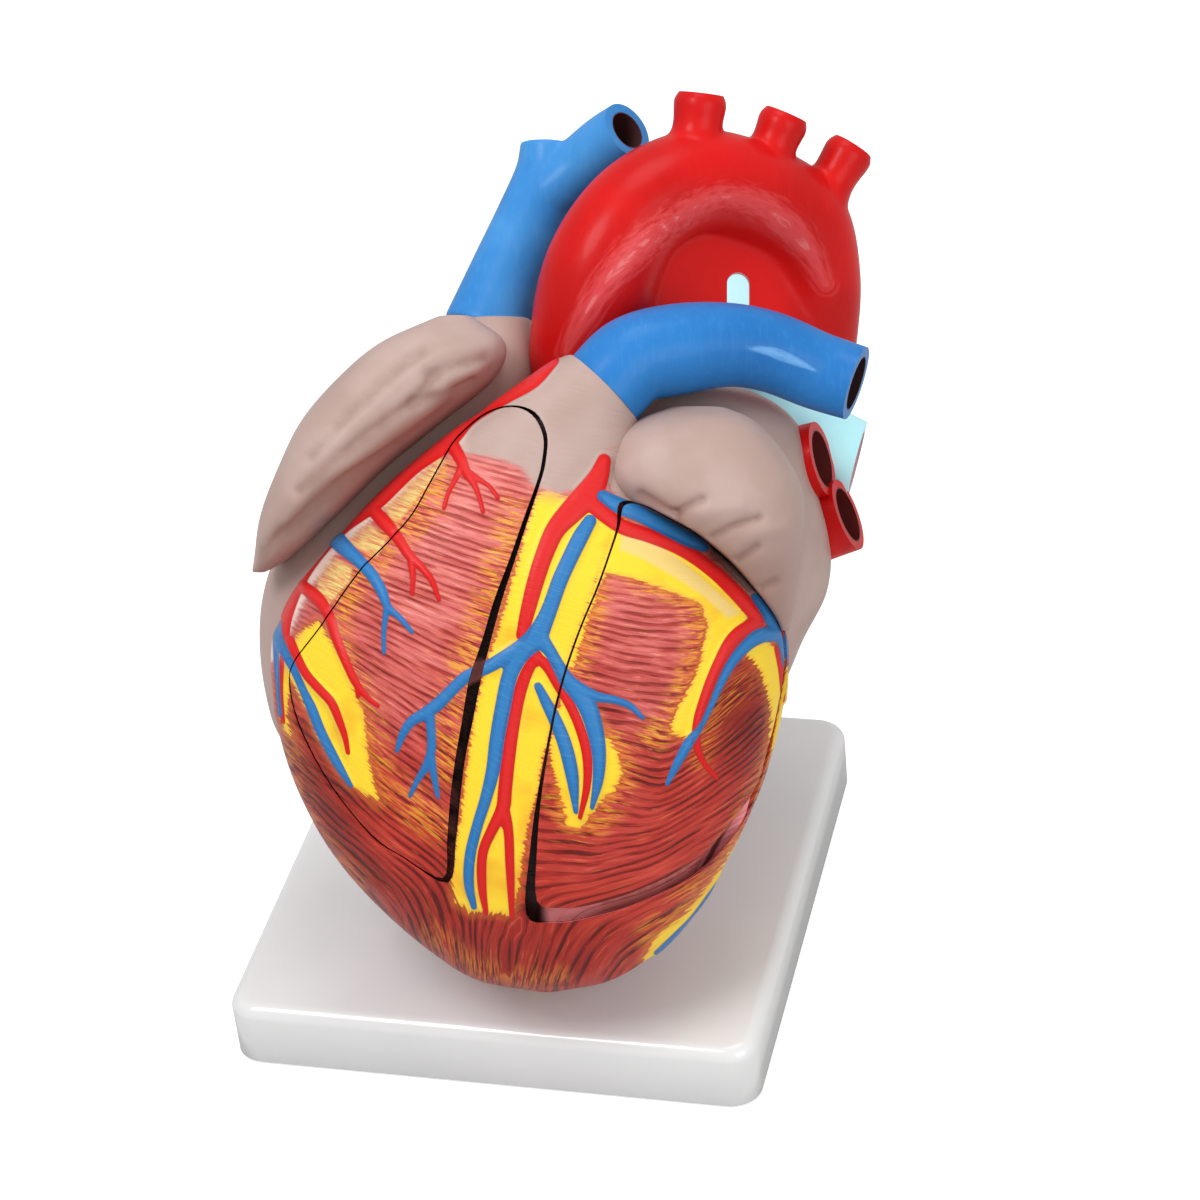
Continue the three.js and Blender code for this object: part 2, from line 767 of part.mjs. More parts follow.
function screw() {
  const headTop = screwSeat() - WASHER_THICKNESS - 2 * SEAM;
  const head = rod([0, 0, headTop - SCREW_HEAD_HEIGHT], [0, 0, headTop], SCREW_HEAD_DIAMETER / 2, undefined, 6);
  const shank = rod([0, 0, headTop - 0.5], [0, 0, threadTop() - 0.5], SCREW_DIAMETER / 2);
  return head.add(shank);
}

function socketBottom() {
  return POST_TOP_HEIGHT - POST_FLAT_LENGTH - 4;
}

// The D-shaped bore that the post's top slides into, made larger by a clearance.
function postInHeart(grow, from, to) {
  const shaft = rod([0, 0, from], [0, 0, to], POST_DIAMETER / 2 + grow, undefined, POST_SIDES);
  const flatX = POST_DIAMETER / 2 - POST_FLAT_DEPTH + grow + 10;
  const flatFrom = POST_TOP_HEIGHT - POST_FLAT_LENGTH + 1;
  return shaft.subtract(box(20, 40, 200, flatX, 0, flatFrom)).transform(intoHeart.elements);
}

function socketBody(grow) {
  const outside = POST_DIAMETER / 2 + SOCKET_CLEARANCE + SOCKET_WALL + grow;
  const top = POST_TOP_HEIGHT + SOCKET_WALL + grow;
  return rod([0, 0, socketBottom() - grow], [0, 0, top], outside, undefined, POST_SIDES).transform(intoHeart.elements);
}

function socketBoss() {
  const radius = POST_DIAMETER / 2 + SOCKET_CLEARANCE + SOCKET_WALL + SOCKET_BOSS_WALL;
  return rod(standPoint(0, 0, 60), standPoint(0, 0, POST_TOP_HEIGHT + 14), radius, radius - 3, 24);
}

function postPassage() {
  const radius = POST_DIAMETER / 2 + 4;
  return rod(standPoint(0, 0, 30), standPoint(0, 0, socketBottom() + 1), radius, undefined, 24);
}

// Heart

const rightPrism = (inset) => prism(RIGHT_WALL_OUTLINE, inset, 0, 180);
const leftPrism = (inset) => prism(LEFT_WALL_OUTLINE, inset, 0, 180);

// The right wall's room ends where the ventricles' upper edge turns away, so nothing of it hooks behind the ledge.
function rightWallRoom(inset, gap) {
  return rightPrism(inset).trimByPlane([0, -RIGHT_WALL_BACK_SLOPE, 1], RIGHT_WALL_BACK_HEIGHT + gap);
}

// The left wall's room ends above the ventricles' widest line, for the same reason.
function leftWallRoom(inset, gap) {
  return leftPrism(inset).trimByPlane([0, 0, 1], LEFT_WALL_BACK_HEIGHT + gap);
}

// Everything above the slanted cut where the pulmonary trunk starts.
function aboveTrunkCut(shift) {
  const start = vector(PULMONARY_TRUNK[0]);
  const way = curveThrough(PULMONARY_TRUNK).getTangent(0);
  const from = start.clone().addScaledVector(way, shift);
  const to = from.clone().addScaledVector(way, 90);
  return rod(from.toArray(), to.toArray(), 70, undefined, 12);
}

function chamberHollow(inset) {
  return insideOfVentricles(inset).subtract(aboveTrunkCut(-8));
}

const VALVES = {
  tricuspid: { from: [-84, 14, -44], to: [-62, -34, -14], radius: 22, cusps: 3 },
  mitral: { from: [66, 6, -52], to: [46, -42, -18], radius: 20, cusps: 2 },
  aortic: { from: [20, 6, -44], to: [15, 44, -48], radius: 15, cusps: 3 },
  pulmonary: { from: [12, 64, 40], to: [24, 82, 43], radius: 14.5, cusps: 3 },
};

function valveBore(valve, grow = 0) {
  return rod(valve.from, valve.to, valve.radius + grow, undefined, 16);
}

const relief = coronaryVessels();
const outerBody = ventricles(0).add(relief).subtract(aboveTrunkCut(-SEAM));

const wallSeat = insideOfVentricles(CHAMBER_WALL_THICKNESS);

// A peg stands half in the ledge and half in the wall, on the seat that the wall rests on.
function pegBody({ x, y }, grow, behind = 0) {
  const seat = wallSeat.intersect(box(PROBE_WIDTH, PROBE_WIDTH, PROBE_HEIGHT, x, y, 0)).boundingBox().max[2];
  const radius = PEG_DIAMETER / 2 + grow;
  const low = seat - PEG_IN_LEDGE - grow - behind;
  return rod([x, y, low], [x, y, seat + PEG_IN_WALL + grow], radius, undefined, PEG_SIDES);
}

function ventricleShell() {
  const seat = insideOfVentricles(CHAMBER_WALL_THICKNESS + SEAM);
  const cuts = [
    rightWallRoom(0, -SEAM).subtract(seat),
    leftWallRoom(0, -SEAM).subtract(seat),
    rightPrism(LEDGE_WIDTH),
    leftPrism(LEDGE_WIDTH),
    chamberHollow(SHELL_WALL),
    postPassage(),
    valveBore(VALVES.tricuspid),
    valveBore(VALVES.mitral),
    valveBore(VALVES.aortic),
    valveBore(VALVES.pulmonary),
    socketBody(SEAM),
  ];
  const pegs = [...RIGHT_WALL_PEGS, ...LEFT_WALL_PEGS].map(([x, y]) => pegBody({ x, y }, 0.3));
  return cuts.concat(pegs).reduce((left, cut) => left.subtract(cut), outerBody);
}

// Where the seat slopes, each peg's hole runs back out of the wall, so the wall slides off along its pegs.
function chamberWall(wallPrism, pegs) {
  const holes = pegs.map(([x, y]) => pegBody({ x, y }, PEG_CLEARANCE, PEG_HOLE_BEHIND));
  return holes.reduce((left, hole) => left.subtract(hole), outerBody.intersect(wallPrism).subtract(wallSeat));
}

function septum() {
  return septumSlab(SEPTUM_THICKNESS)
    .add(socketBoss())
    .intersect(chamberHollow(SHELL_WALL + SEAM))
    .subtract(valveBore(VALVES.aortic, 0.5))
    .subtract(rightPrism(LEDGE_WIDTH - SEAM).intersect(ventricles(0).subtract(chamberHollow(SHELL_WALL + SEAM))))
    .subtract(socketBody(SEAM))
    .subtract(postPassage());
}

function aortaTube(grow) {
  return vessel(AORTA, grow, 14, 12);
}

// The dished web that closes the arch from behind, with a small gap low in the middle.
function archWeb(grow) {
  const shape = new THREE.Shape(ARCH_WEB_OUTLINE.map(([x, y]) => new THREE.Vector2(x, y)));
  const depth = ARCH_WEB_THICKNESS + 2 * grow;
  const web = new THREE.ExtrudeGeometry(shape, { depth, bevelEnabled: false });
  const slant = new THREE.Matrix4().set(1, 0, 0, 0, 0, 1, 0, 0, ARCH_WEB_SLANT, 0, 1, 0, 0, 0, 0, 1);
  web.applyMatrix4(slant);
  web.translate(0, 0, ARCH_WEB_BACK - grow);
  const { x, top, bottom, width } = ARCH_WEB_GAP;
  const radius = width / 2 - grow;
  const roundTop = top - width / 2;
  const gap = rod([x, roundTop, -140], [x, roundTop, 60], radius, undefined, 12).add(
    box(2 * radius, roundTop - bottom, 200, x, (roundTop + bottom) / 2, -140),
  );
  return solidOf(web).subtract(gap).subtract(vessel(RIGHT_PULMONARY_ARTERY, 2 * SEAM, 10, 5));
}

function aortaOuter(grow = 0) {
  const branches = AORTIC_BRANCHES.map(({ from, to, radius }) => {
    const path = [
      [...from, radius + 7],
      [...vector(from).lerp(vector(to), 0.45).toArray(), radius],
      [...to, radius + 0.8],
    ];
    return vessel(path, grow, 10, 2);
  });
  return unionOf([aortaTube(grow), archWeb(grow), ...branches]);
}

function aortaLumen() {
  return vessel(extended(AORTA, AORTA_BORE_RUN_OUT, 0), -VESSEL_WALL, BORE_SIDES, 8);
}

function aorta() {
  return aortaOuter()
    .subtract(aortaLumen())
    .subtract(valveBore(VALVES.aortic))
    .subtract(ventricles(-SEAM));
}

function pulmonaryTrunk() {
  const outer = vessel(PULMONARY_TRUNK, 0, VESSEL_SIDES, 9).add(vessel(RIGHT_PULMONARY_ARTERY, 0, 10, 5));
  const lumen = vessel(extended(PULMONARY_TRUNK, BORE_RUN_OUT, BORE_RUN_OUT), -VESSEL_WALL, 10, 6).add(
    vessel(extended(RIGHT_PULMONARY_ARTERY, 0, BORE_RUN_OUT), -VESSEL_WALL, 6, 4),
  );
  return outer
    .subtract(lumen)
    .subtract(valveBore(VALVES.pulmonary))
    .subtract(aortaOuter(SEAM))
    .subtract(ventricles(-SEAM).subtract(aboveTrunkCut(-SEAM)));
}

function trunkOuter(grow) {
  return vessel(extended(PULMONARY_TRUNK, 4, 0), grow, VESSEL_SIDES, 9).add(vessel(RIGHT_PULMONARY_ARTERY, grow, 10, 5));
}

function superiorVenaCava() {
  const outer = vessel(SUPERIOR_VENA_CAVA, 0, VESSEL_SIDES, 5).add(vessel(RIGHT_BRANCH_OF_CAVA, 0, VESSEL_SIDES, 3));
  const lumen = vessel(extended(SUPERIOR_VENA_CAVA, 10, 10), -VESSEL_WALL, BORE_SIDES, 5).add(
    vessel(extended(RIGHT_BRANCH_OF_CAVA, 0, 10), -VESSEL_WALL, BORE_SIDES, 3),
  );
  return outer.subtract(lumen).subtract(aortaOuter(SEAM));
}

function inferiorVenaCava() {
  return vessel(INFERIOR_VENA_CAVA, 0, VESSEL_SIDES, 3)
    .subtract(vessel(extended(INFERIOR_VENA_CAVA, 10, 10), -VESSEL_WALL, BORE_SIDES, 3))
    .subtract(ventricles(-SEAM));
}

function airwayOuter(grow) {
  return unionOf([
    vessel(WINDPIPE, grow, 10, 2),
    vessel(LEFT_BRONCHUS, grow, VESSEL_SIDES, 4),
    vessel(RIGHT_BRONCHUS, grow, 10, 3),
  ]);
}

function airway() {
  const lumen = unionOf([
    vessel(extended(WINDPIPE, 10, 0), -VESSEL_WALL, 6, 2),
    vessel(extended(LEFT_BRONCHUS, 0, 10), -VESSEL_WALL - 1, BORE_SIDES, 4),
    vessel(extended(RIGHT_BRONCHUS, 0, 10), -VESSEL_WALL + 1, 6, 3),
  ]);
  return airwayOuter(0).subtract(lumen).subtract(aortaOuter(SEAM)).subtract(trunkOuter(SEAM));
}

function veinOuter({ from, to, radius }, grow) {
  return vessel([[...from, radius], [...to, radius]], grow, VESSEL_SIDES, 1);
}

function vein(path) {
  const { from, to, radius } = path;
  const bore = vessel(extended([[...from, radius], [...to, radius]], 12, 12), -VESSEL_WALL + 0.5, BORE_SIDES, 1);
  return veinOuter(path, 0).subtract(bore).subtract(airwayOuter(SEAM)).subtract(aortaTube(SEAM));
}

const allVeins = [...LEFT_PULMONARY_VEINS, ...RIGHT_PULMONARY_VEINS];

// An atrium is solid, apart from the recess behind its valve.
function atriumRecess(valve) {
  const way = vector(valve.from).sub(vector(valve.to)).normalize();
  const deep = vector(valve.from).addScaledVector(way, ATRIUM_RECESS_DEPTH);
  return rod(deep.toArray(), valve.to, valve.radius, undefined, VESSEL_SIDES);
}

function rightAtriumBody(grow) {
  return softBody(RIGHT_ATRIUM, RIGHT_ATRIUM_LEVELS, -grow, SOFT_SIDES, SOFT_POWER);
}

function leftAtriumBody(grow) {
  return softBody(LEFT_ATRIUM, LEFT_ATRIUM_LEVELS, -grow, SOFT_SIDES, SOFT_POWER);
}

function rightAtrium() {
  return rightAtriumBody(0)
    .subtract(ventricles(-SEAM))
    .subtract(aortaTube(SEAM))
    .subtract(atriumRecess(VALVES.tricuspid))
    .subtract(valveBore(VALVES.aortic, 2))
    .subtract(vessel(SUPERIOR_VENA_CAVA, SEAM, VESSEL_SIDES, 5))
    .subtract(vessel(INFERIOR_VENA_CAVA, SEAM, VESSEL_SIDES, 3))
    .subtract(unionOf(RIGHT_PULMONARY_VEINS.map((path) => veinOuter(path, SEAM))))
    .subtract(trunkOuter(SEAM))
    .subtract(beyondParting(1));
}

// All that lies past the plane where the two atria meet, to the right (1) or to the left (-1).
function beyondParting(side) {
  const middle = ATRIUM_PARTING_X + (side * (PARTING_CUT_WIDTH - SEAM)) / 2;
  return box(PARTING_CUT_WIDTH, PARTING_CUT_DEPTH, PARTING_CUT_DEPTH, middle, 0, -PARTING_CUT_DEPTH / 2);
}

function leftAtrium() {
  return leftAtriumBody(0)
    .subtract(ventricles(-SEAM))
    .subtract(aortaTube(SEAM))
    .subtract(atriumRecess(VALVES.mitral))
    .subtract(valveBore(VALVES.aortic, 2))
    .subtract(airwayOuter(SEAM))
    .subtract(trunkOuter(SEAM))
    .subtract(unionOf(allVeins.map((path) => veinOuter(path, SEAM))))
    .subtract(beyondParting(-1));
}

function rightAuricle() {
  return softBody(RIGHT_AURICLE, RIGHT_AURICLE_LEVELS, 0, SOFT_SIDES, SOFT_POWER)
    .subtract(rightAtriumBody(SEAM))
    .subtract(ventricles(-SEAM).add(relief))
    .subtract(aortaTube(SEAM))
    .subtract(trunkOuter(SEAM))
    .subtract(rightPrism(-2))
    .subtract(vessel(SUPERIOR_VENA_CAVA, SEAM, VESSEL_SIDES, 5));
}

function leftAuricle() {
  return softBody(LEFT_AURICLE, LEFT_AURICLE_LEVELS, 0, SOFT_SIDES, SOFT_POWER)
    .subtract(leftAtriumBody(SEAM))
    .subtract(ventricles(-SEAM).add(relief))
    .subtract(aortaTube(SEAM))
    .subtract(trunkOuter(SEAM))
    .subtract(leftPrism(-2))
    .subtract(unionOf(allVeins.map((path) => veinOuter(path, SEAM))));
}

// Valve with a seat ring and leaflets that open towards the end point of its bore.
function doorValve(valve) {
  const length = 26;
  const outside = valve.radius - SEAM;
  const profile = [
    [outside - 4, 0],
    [outside, 0],
    [outside, 7],
    [outside - 3, 9],
    [outside * 0.62, length],
    [outside * 0.62 - 2.2, length],
    [outside - 5.4, 8.4],
    [outside - 4, 0],
  ].map(([x, y]) => new THREE.Vector2(x, y));
  const funnel = new THREE.LatheGeometry(profile, 12);
  const slits = [];
  for (let i = 0; i < valve.cusps; i += 1) {
    const slit = new THREE.CylinderGeometry(5.5, 0.4, 18, 6);
    slit.translate(0, length - 7, outside * 0.72);
    slit.rotateY((i / valve.cusps) * Math.PI * 2);
    slits.push(solidOf(slit));
  }
  return { solid: solidOf(funnel).subtract(unionOf(slits)), valve };
}

// Valve made of pockets that meet in the middle of the vessel.
function pocketValve(valve) {
  const outside = valve.radius - SEAM;
  const profile = [
    [0, 4.2],
    [outside * 0.45, 2],
    [outside * 0.85, 1],
    [outside, 0],
    [outside, 7],
    [outside - 1.8, 7],
    [outside * 0.8, 3.4],
    [outside * 0.45, 4.2],
    [0, 6.4],
  ].map(([x, y]) => new THREE.Vector2(x, y));
  const dish = new THREE.LatheGeometry(profile, 12);
  const slits = [];
  for (let i = 0; i < valve.cusps; i += 1) {
    const slit = new THREE.BoxGeometry(0.9, 20, outside * 0.84);
    slit.translate(0, 3, outside * 0.42);
    slit.rotateY((i / valve.cusps) * Math.PI * 2);
    slits.push(solidOf(slit));
  }
  return { solid: solidOf(dish).subtract(unionOf(slits)), valve };
}

// Moves a valve built along Y into its bore, at a share of the bore's length.
function seated({ solid, valve }, share) {
  const [from, to] = [vector(valve.from), vector(valve.to)];
  const way = to.clone().sub(from).normalize();
  const turn = new THREE.Quaternion().setFromUnitVectors(new THREE.Vector3(0, 1, 0), way);
  const place = new THREE.Matrix4().makeRotationFromQuaternion(turn);
  place.setPosition(from.clone().lerp(to, share));
  return solid.transform(place.elements);
}

// Papillary muscle: a tapered pillar on the chamber wall with cords up to a valve's leaflets.
function papillaryMuscle({ foot, tip, cords }) {
  const pillar = vessel([[...foot, 11], [...vector(foot).lerp(vector(tip), 0.5).toArray(), 8], [...tip, 4.5]], 0, 6, 2);
  const strings = cords.map((end) => rod(vector(tip).lerp(vector(foot), 0.12).toArray(), end, 1.5, 1.1, 6));
  return unionOf([pillar, ...strings])
    .intersect(chamberHollow(SHELL_WALL + SEAM))
    .subtract(septumSlab(SEPTUM_THICKNESS + 2 * SEAM));
}

const PAPILLARY_MUSCLES = {
  right_papillary_muscle_front: { foot: [-92, -128, -18], tip: [-72, -84, -8], cords: [[-68, -62, 2], [-78, -60, -6]] },
  right_papillary_muscle_back: { foot: [-78, -120, -66], tip: [-64, -82, -36], cords: [[-58, -60, -22], [-70, -58, -26]] },
  left_papillary_muscle_front: { foot: [66, -132, 4], tip: [52, -92, -2], cords: [[44, -70, -2], [56, -68, -8]] },
  left_papillary_muscle_back: { foot: [48, -128, -58], tip: [42, -92, -32], cords: [[36, -70, -18], [48, -68, -22]] },
};

addPart("stand_plate", stand(), whiteGloss);
addPart("stand_pad", padBody(0), padFoam);
addPart("support_post", post(), steel);
addPart("post_washer", washer(), steel);
addPart("post_screw", screw(), steel);

addHeartPart("post_socket", socketBody(0).subtract(postInHeart(SOCKET_CLEARANCE, 0, POST_TOP_HEIGHT + 0.4)), whiteNylon);
addHeartPart("ventricle_shell", ventricleShell(), paintedMuscle);
addHeartPart("ventricle_septum", septum(), paintedMuscle);
addHeartPart("right_ventricle_wall", chamberWall(rightWallRoom(RIGHT_WALL_SEAM, 0), RIGHT_WALL_PEGS), paintedMuscle);
addHeartPart("left_ventricle_wall", chamberWall(leftWallRoom(LEFT_WALL_SEAM, 0), LEFT_WALL_PEGS), paintedMuscle);
RIGHT_WALL_PEGS.forEach(([x, y], i) => addHeartPart(`right_wall_peg_${i + 1}`, pegBody({ x, y }, 0), steel));
LEFT_WALL_PEGS.forEach(([x, y], i) => addHeartPart(`left_wall_peg_${i + 1}`, pegBody({ x, y }, 0), steel));

addHeartPart("right_atrium", rightAtrium(), paintedAtrium);
addHeartPart("left_atrium", leftAtrium(), paintedAtrium);
addHeartPart("right_auricle", rightAuricle(), paintedAtrium);
addHeartPart("left_auricle", leftAuricle(), paintedAtrium);
addHeartPart("aorta", aorta(), redGloss);
addHeartPart("pulmonary_trunk", pulmonaryTrunk(), blueGloss);
addHeartPart("superior_vena_cava", superiorVenaCava(), blueGloss);
addHeartPart("inferior_vena_cava", inferiorVenaCava(), blueGloss);
addHeartPart("windpipe", airway(), cyanGloss);
LEFT_PULMONARY_VEINS.forEach((path, i) => {
  const solid = i === 0 ? vein(path) : vein(path).subtract(veinOuter(LEFT_PULMONARY_VEINS[0], SEAM));
  addHeartPart(`left_pulmonary_vein_${path.name}`, solid, redGloss);
});
RIGHT_PULMONARY_VEINS.forEach((path) => addHeartPart(`right_pulmonary_vein_${path.name}`, vein(path), redGloss));

addHeartPart("tricuspid_valve", seated(doorValve(VALVES.tricuspid), 0.32), ivory);
addHeartPart("mitral_valve", seated(doorValve(VALVES.mitral), 0.32), ivory);
addHeartPart("aortic_valve", seated(pocketValve(VALVES.aortic), 0.4), ivory);
addHeartPart("pulmonary_valve", seated(pocketValve(VALVES.pulmonary), 0.3), ivory);
Object.entries(PAPILLARY_MUSCLES).forEach(([name, muscle]) => {
  addHeartPart(name, papillaryMuscle(muscle), paintedMuscle);
});

export default part;
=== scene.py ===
"""An enlarged painted teaching heart on a square stand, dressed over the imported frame.

The heart's pieces are made in the heart's own frame, in millimetres: X is the viewer's right, Y is up the
heart and Z points at the viewer. HEART moves them over the stand. What is painted on the front is laid out
in the photograph's pixels, and what is painted on the back in millimetres of the heart's own frame.
"""

import math

import bmesh
import bpy
import numpy as np
from mathutils import Euler, Matrix, Vector


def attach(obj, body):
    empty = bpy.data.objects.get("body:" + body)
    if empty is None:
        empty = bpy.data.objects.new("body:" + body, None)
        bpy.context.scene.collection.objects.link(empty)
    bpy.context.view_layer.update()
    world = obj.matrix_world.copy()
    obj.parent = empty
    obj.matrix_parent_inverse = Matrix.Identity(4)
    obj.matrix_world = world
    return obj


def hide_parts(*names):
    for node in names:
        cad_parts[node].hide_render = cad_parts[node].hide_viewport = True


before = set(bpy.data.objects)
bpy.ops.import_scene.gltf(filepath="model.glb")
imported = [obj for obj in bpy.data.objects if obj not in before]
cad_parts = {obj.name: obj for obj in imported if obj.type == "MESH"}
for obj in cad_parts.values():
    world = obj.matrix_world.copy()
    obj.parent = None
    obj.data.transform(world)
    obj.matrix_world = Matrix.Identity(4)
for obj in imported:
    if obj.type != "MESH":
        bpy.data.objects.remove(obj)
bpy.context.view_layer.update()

MM = 0.001
HEART = (
    Matrix.Translation((27.4, -10.6, 226.0))
    @ Matrix.Rotation(math.radians(16.6), 4, "Z")
    @ Matrix.Rotation(math.radians(54.6), 4, "X")
    @ Matrix.Rotation(math.radians(-6.2), 4, "Z")
)
HEART_ARRAY = np.array(HEART)

# Camera of the photograph, in millimetres and pixels
CAMERA_PLACE = np.array((440.871, -1341.12, 1190.664))
CAMERA_TURN = Euler([math.radians(a) for a in (54.4482, 5.0286, 12.9978)], "XYZ")
CAMERA_LENS = 109.097
SENSOR_WIDTH = 36
PHOTO_SIZE = 1200
PHOTO_MIDDLE = PHOTO_SIZE / 2
PIXELS_PER_UNIT = CAMERA_LENS / SENSOR_WIDTH * PHOTO_SIZE
MM_PER_PIXEL = 0.466

DETAIL = 1


# Shapes


def values_at(stations, column, heights):
    """One column of a station list at many heights, eased from station to station."""
    table = np.array(stations, float)
    y, v = table[:, 0], table[:, column]
    before, after = np.r_[0, np.arange(len(y) - 1)], np.r_[np.arange(1, len(y)), len(y) - 1]
    slope = (v[after] - v[before]) / (y[after] - y[before])
    i = np.clip(np.searchsorted(y, heights, side="right") - 1, 0, len(y) - 2)
    span = y[i + 1] - y[i]
    t = np.clip((heights - y[i]) / span, 0, 1)
    a, b = 2 * t**3 - 3 * t**2 + 1, t**3 - 2 * t**2 + t
    c, d = -2 * t**3 + 3 * t**2, t**3 - t**2
    return a * v[i] + b * span * slope[i] + c * v[i + 1] + d * span * slope[i + 1]


def sections(stations, heights):
    """Middle and half width of sections along X, and along Z."""
    left, right, front, back = (values_at(stations, k, heights) for k in (1, 2, 3, 4))
    return (left + right) / 2, (right - left) / 2, (front + back) / 2, (front - back) / 2


def loft_points(stations, heights, angles, power, inset=0.0):
    """Points of a soft body through station sections, as rows of rings."""
    low, high = stations[0][0], stations[-1][0]
    middle = (low + high) / 2
    y = middle + (heights - middle) * (high - low - 2 * inset) / (high - low)
    mid_x, half_x, mid_z, half_z = sections(stations, np.clip(y, low, high))
    half_x, half_z = np.maximum(half_x - inset, 1), np.maximum(half_z - inset, 1)
    cos, sin = np.cos(angles), np.sin(angles)
    x = mid_x[:, None] + half_x[:, None] * np.sign(cos) * np.abs(cos) ** (2 / power)
    z = mid_z[:, None] + half_z[:, None] * np.sign(sin) * np.abs(sin) ** (2 / power)
    return np.stack([x, np.broadcast_to(y[:, None], x.shape), z], axis=2)


def grid_faces(rows, cols):
    r, c = np.meshgrid(np.arange(rows - 1), np.arange(cols), indexing="ij")
    a, b = r * cols + c, r * cols + (c + 1) % cols
    return np.stack([a, a + cols, b + cols, b], axis=2).reshape(-1, 4)


def closed_grid(points):
    """Closed mesh from rows of rings, with a fan at each end."""
    rows, cols = points.shape[:2]
    verts = np.concatenate([points.reshape(-1, 3), points[0].mean(0)[None], points[-1].mean(0)[None]])
    faces = [tuple(f) for f in grid_faces(rows, cols).tolist()]
    start, end = rows * cols, rows * cols + 1
    last = (rows - 1) * cols
    for c in range(cols):
        n = (c + 1) % cols
        faces.append((start, c, n))
        faces.append((end, last + n, last + c))
    return mesh_object("grid", verts, faces)


def mesh_object(name, verts, faces):
    mesh = bpy.data.meshes.new(name)
    mesh.from_pydata([tuple(v) for v in np.asarray(verts).tolist()], [], faces)
    mesh.validate()
    obj = bpy.data.objects.new(name, mesh)
    bpy.context.scene.collection.objects.link(obj)
    turn_outwards(obj)
    return obj


def turn_outwards(obj):
    """Makes the faces of a closed mesh look out."""
    bm = bmesh.new()
    bm.from_mesh(obj.data)
    if bm.calc_volume(signed=True) < 0:
        bmesh.ops.reverse_faces(bm, faces=bm.faces)
        bm.to_mesh(obj.data)
    bm.free()


def vertex_values(obj, name):
    found = np.empty(len(obj.data.vertices) * 3, np.float32)
    obj.data.vertices.foreach_get(name, found)
    return found.reshape(-1, 3).astype(float)


def coordinates(obj):
    return vertex_values(obj, "co")


def normals(obj):
    return vertex_values(obj, "normal")


def set_coordinates(obj, points):
    obj.data.vertices.foreach_set("co", np.asarray(points, np.float32).ravel())
    obj.data.update()


def remove(*objs):
    for obj in objs:
        bpy.data.objects.remove(obj)


def apply_modifiers(obj):
    depsgraph = bpy.context.evaluated_depsgraph_get()
    made = bpy.data.meshes.new_from_object(obj.evaluated_get(depsgraph), depsgraph=depsgraph)
    obj.modifiers.clear()
    obj.data = made
    return obj


def combine(target, tool, operation="DIFFERENCE", keep=False):
    """Joins, cuts or crosses two closed meshes. The tool goes unless it is kept."""
    modifier = target.modifiers.new("combine", "BOOLEAN")
    modifier.object = tool
    modifier.operation = operation
    modifier.solver = "MANIFOLD"
    apply_modifiers(target)
    if not keep:
        remove(tool)
    return target


def union(*objs):
    first = objs[0]
    for obj in objs[1:]:
        combine(first, obj, "UNION")
    return first


def duplicate(obj):
    made = bpy.data.objects.new(obj.name, obj.data.copy())
    bpy.context.scene.collection.objects.link(made)
    return made


def melt(obj, voxel, smooth):
    """Remeshes a closed mesh evenly and softens its edges, as casting and paint do.

    voxel is the size of the new mesh's steps, and smooth is how often it is softened.
    """
    modifier = obj.modifiers.new("even", "REMESH")
    modifier.mode = "VOXEL"
    modifier.voxel_size = voxel * DETAIL
    softer = obj.modifiers.new("soft", "SMOOTH")
    softer.factor = 0.5
    softer.iterations = smooth
    return apply_modifiers(obj)


def frames_along(points):
    """Ring directions along a line that don't twist."""
    along = np.gradient(points, axis=0)
    along /= np.linalg.norm(along, axis=1)[:, None]
    side = np.cross(along[0], (0.0, 0.0, 1.0) if abs(along[0][2]) < 0.8 else (0.0, 1.0, 0.0))
    sides = []
    for t in along:
        side = side - t * np.dot(side, t)
        side /= np.linalg.norm(side)
        sides.append(side)
    sides = np.array(sides)
    return sides, np.cross(along, sides)


def smooth_line(points, step):
    """Centripetal Catmull-Rom line through points. Further columns, such as a radius, ease along."""
    p = np.array(points, float)
    p = np.concatenate([[2 * p[0] - p[1]], p, [2 * p[-1] - p[-2]]])
    out = []
    for i in range(1, len(p) - 2):
        a, b, c, d = p[i - 1 : i + 3]
        t = [0.0]
        for u, v in ((a, b), (b, c), (c, d)):
            t.append(t[-1] + max(np.linalg.norm((v - u)[:3]), 1e-6) ** 0.5)
        count = max(int(np.linalg.norm((c - b)[:3]) / step), 1)
        for s in np.linspace(t[1], t[2], count, endpoint=False):
            ab = a + (b - a) * (s - t[0]) / (t[1] - t[0])
            bc = b + (c - b) * (s - t[1]) / (t[2] - t[1])
            cd = c + (d - c) * (s - t[2]) / (t[3] - t[2])
            abc = ab + (bc - ab) * (s - t[0]) / (t[2] - t[0])
            bcd = bc + (cd - bc) * (s - t[1]) / (t[3] - t[1])
            out.append(abc + (bcd - abc) * (s - t[1]) / (t[2] - t[1]))
    out.append(p[-2])
    return np.array(out)


# A step longer than any line, for a rod without rings between its points
WHOLE = 1000


def tube(points, past=(0, 0), sides=48, step=2.0):
    """Round closed body along points (x, y, z, radius). past lengthens its two ends."""
    line = smooth_line(points, step * DETAIL)
    for end, towards, length in ((0, 1, past[0]), (-1, -2, past[1])):
        if length:
            way = line[end, :3] - line[towards, :3]
            tip = line[end].copy()
            tip[:3] += way / np.linalg.norm(way) * length
            line = np.concatenate([[tip], line]) if end == 0 else np.concatenate([line, [tip]])
    side, up = frames_along(line[:, :3])
    angles = np.linspace(0, 2 * math.pi, sides, endpoint=False)
    ring = side[:, None] * np.cos(angles)[None, :, None] + up[:, None] * np.sin(angles)[None, :, None]
    return closed_grid(line[:, None, :3] + ring * line[:, 3][:, None, None])


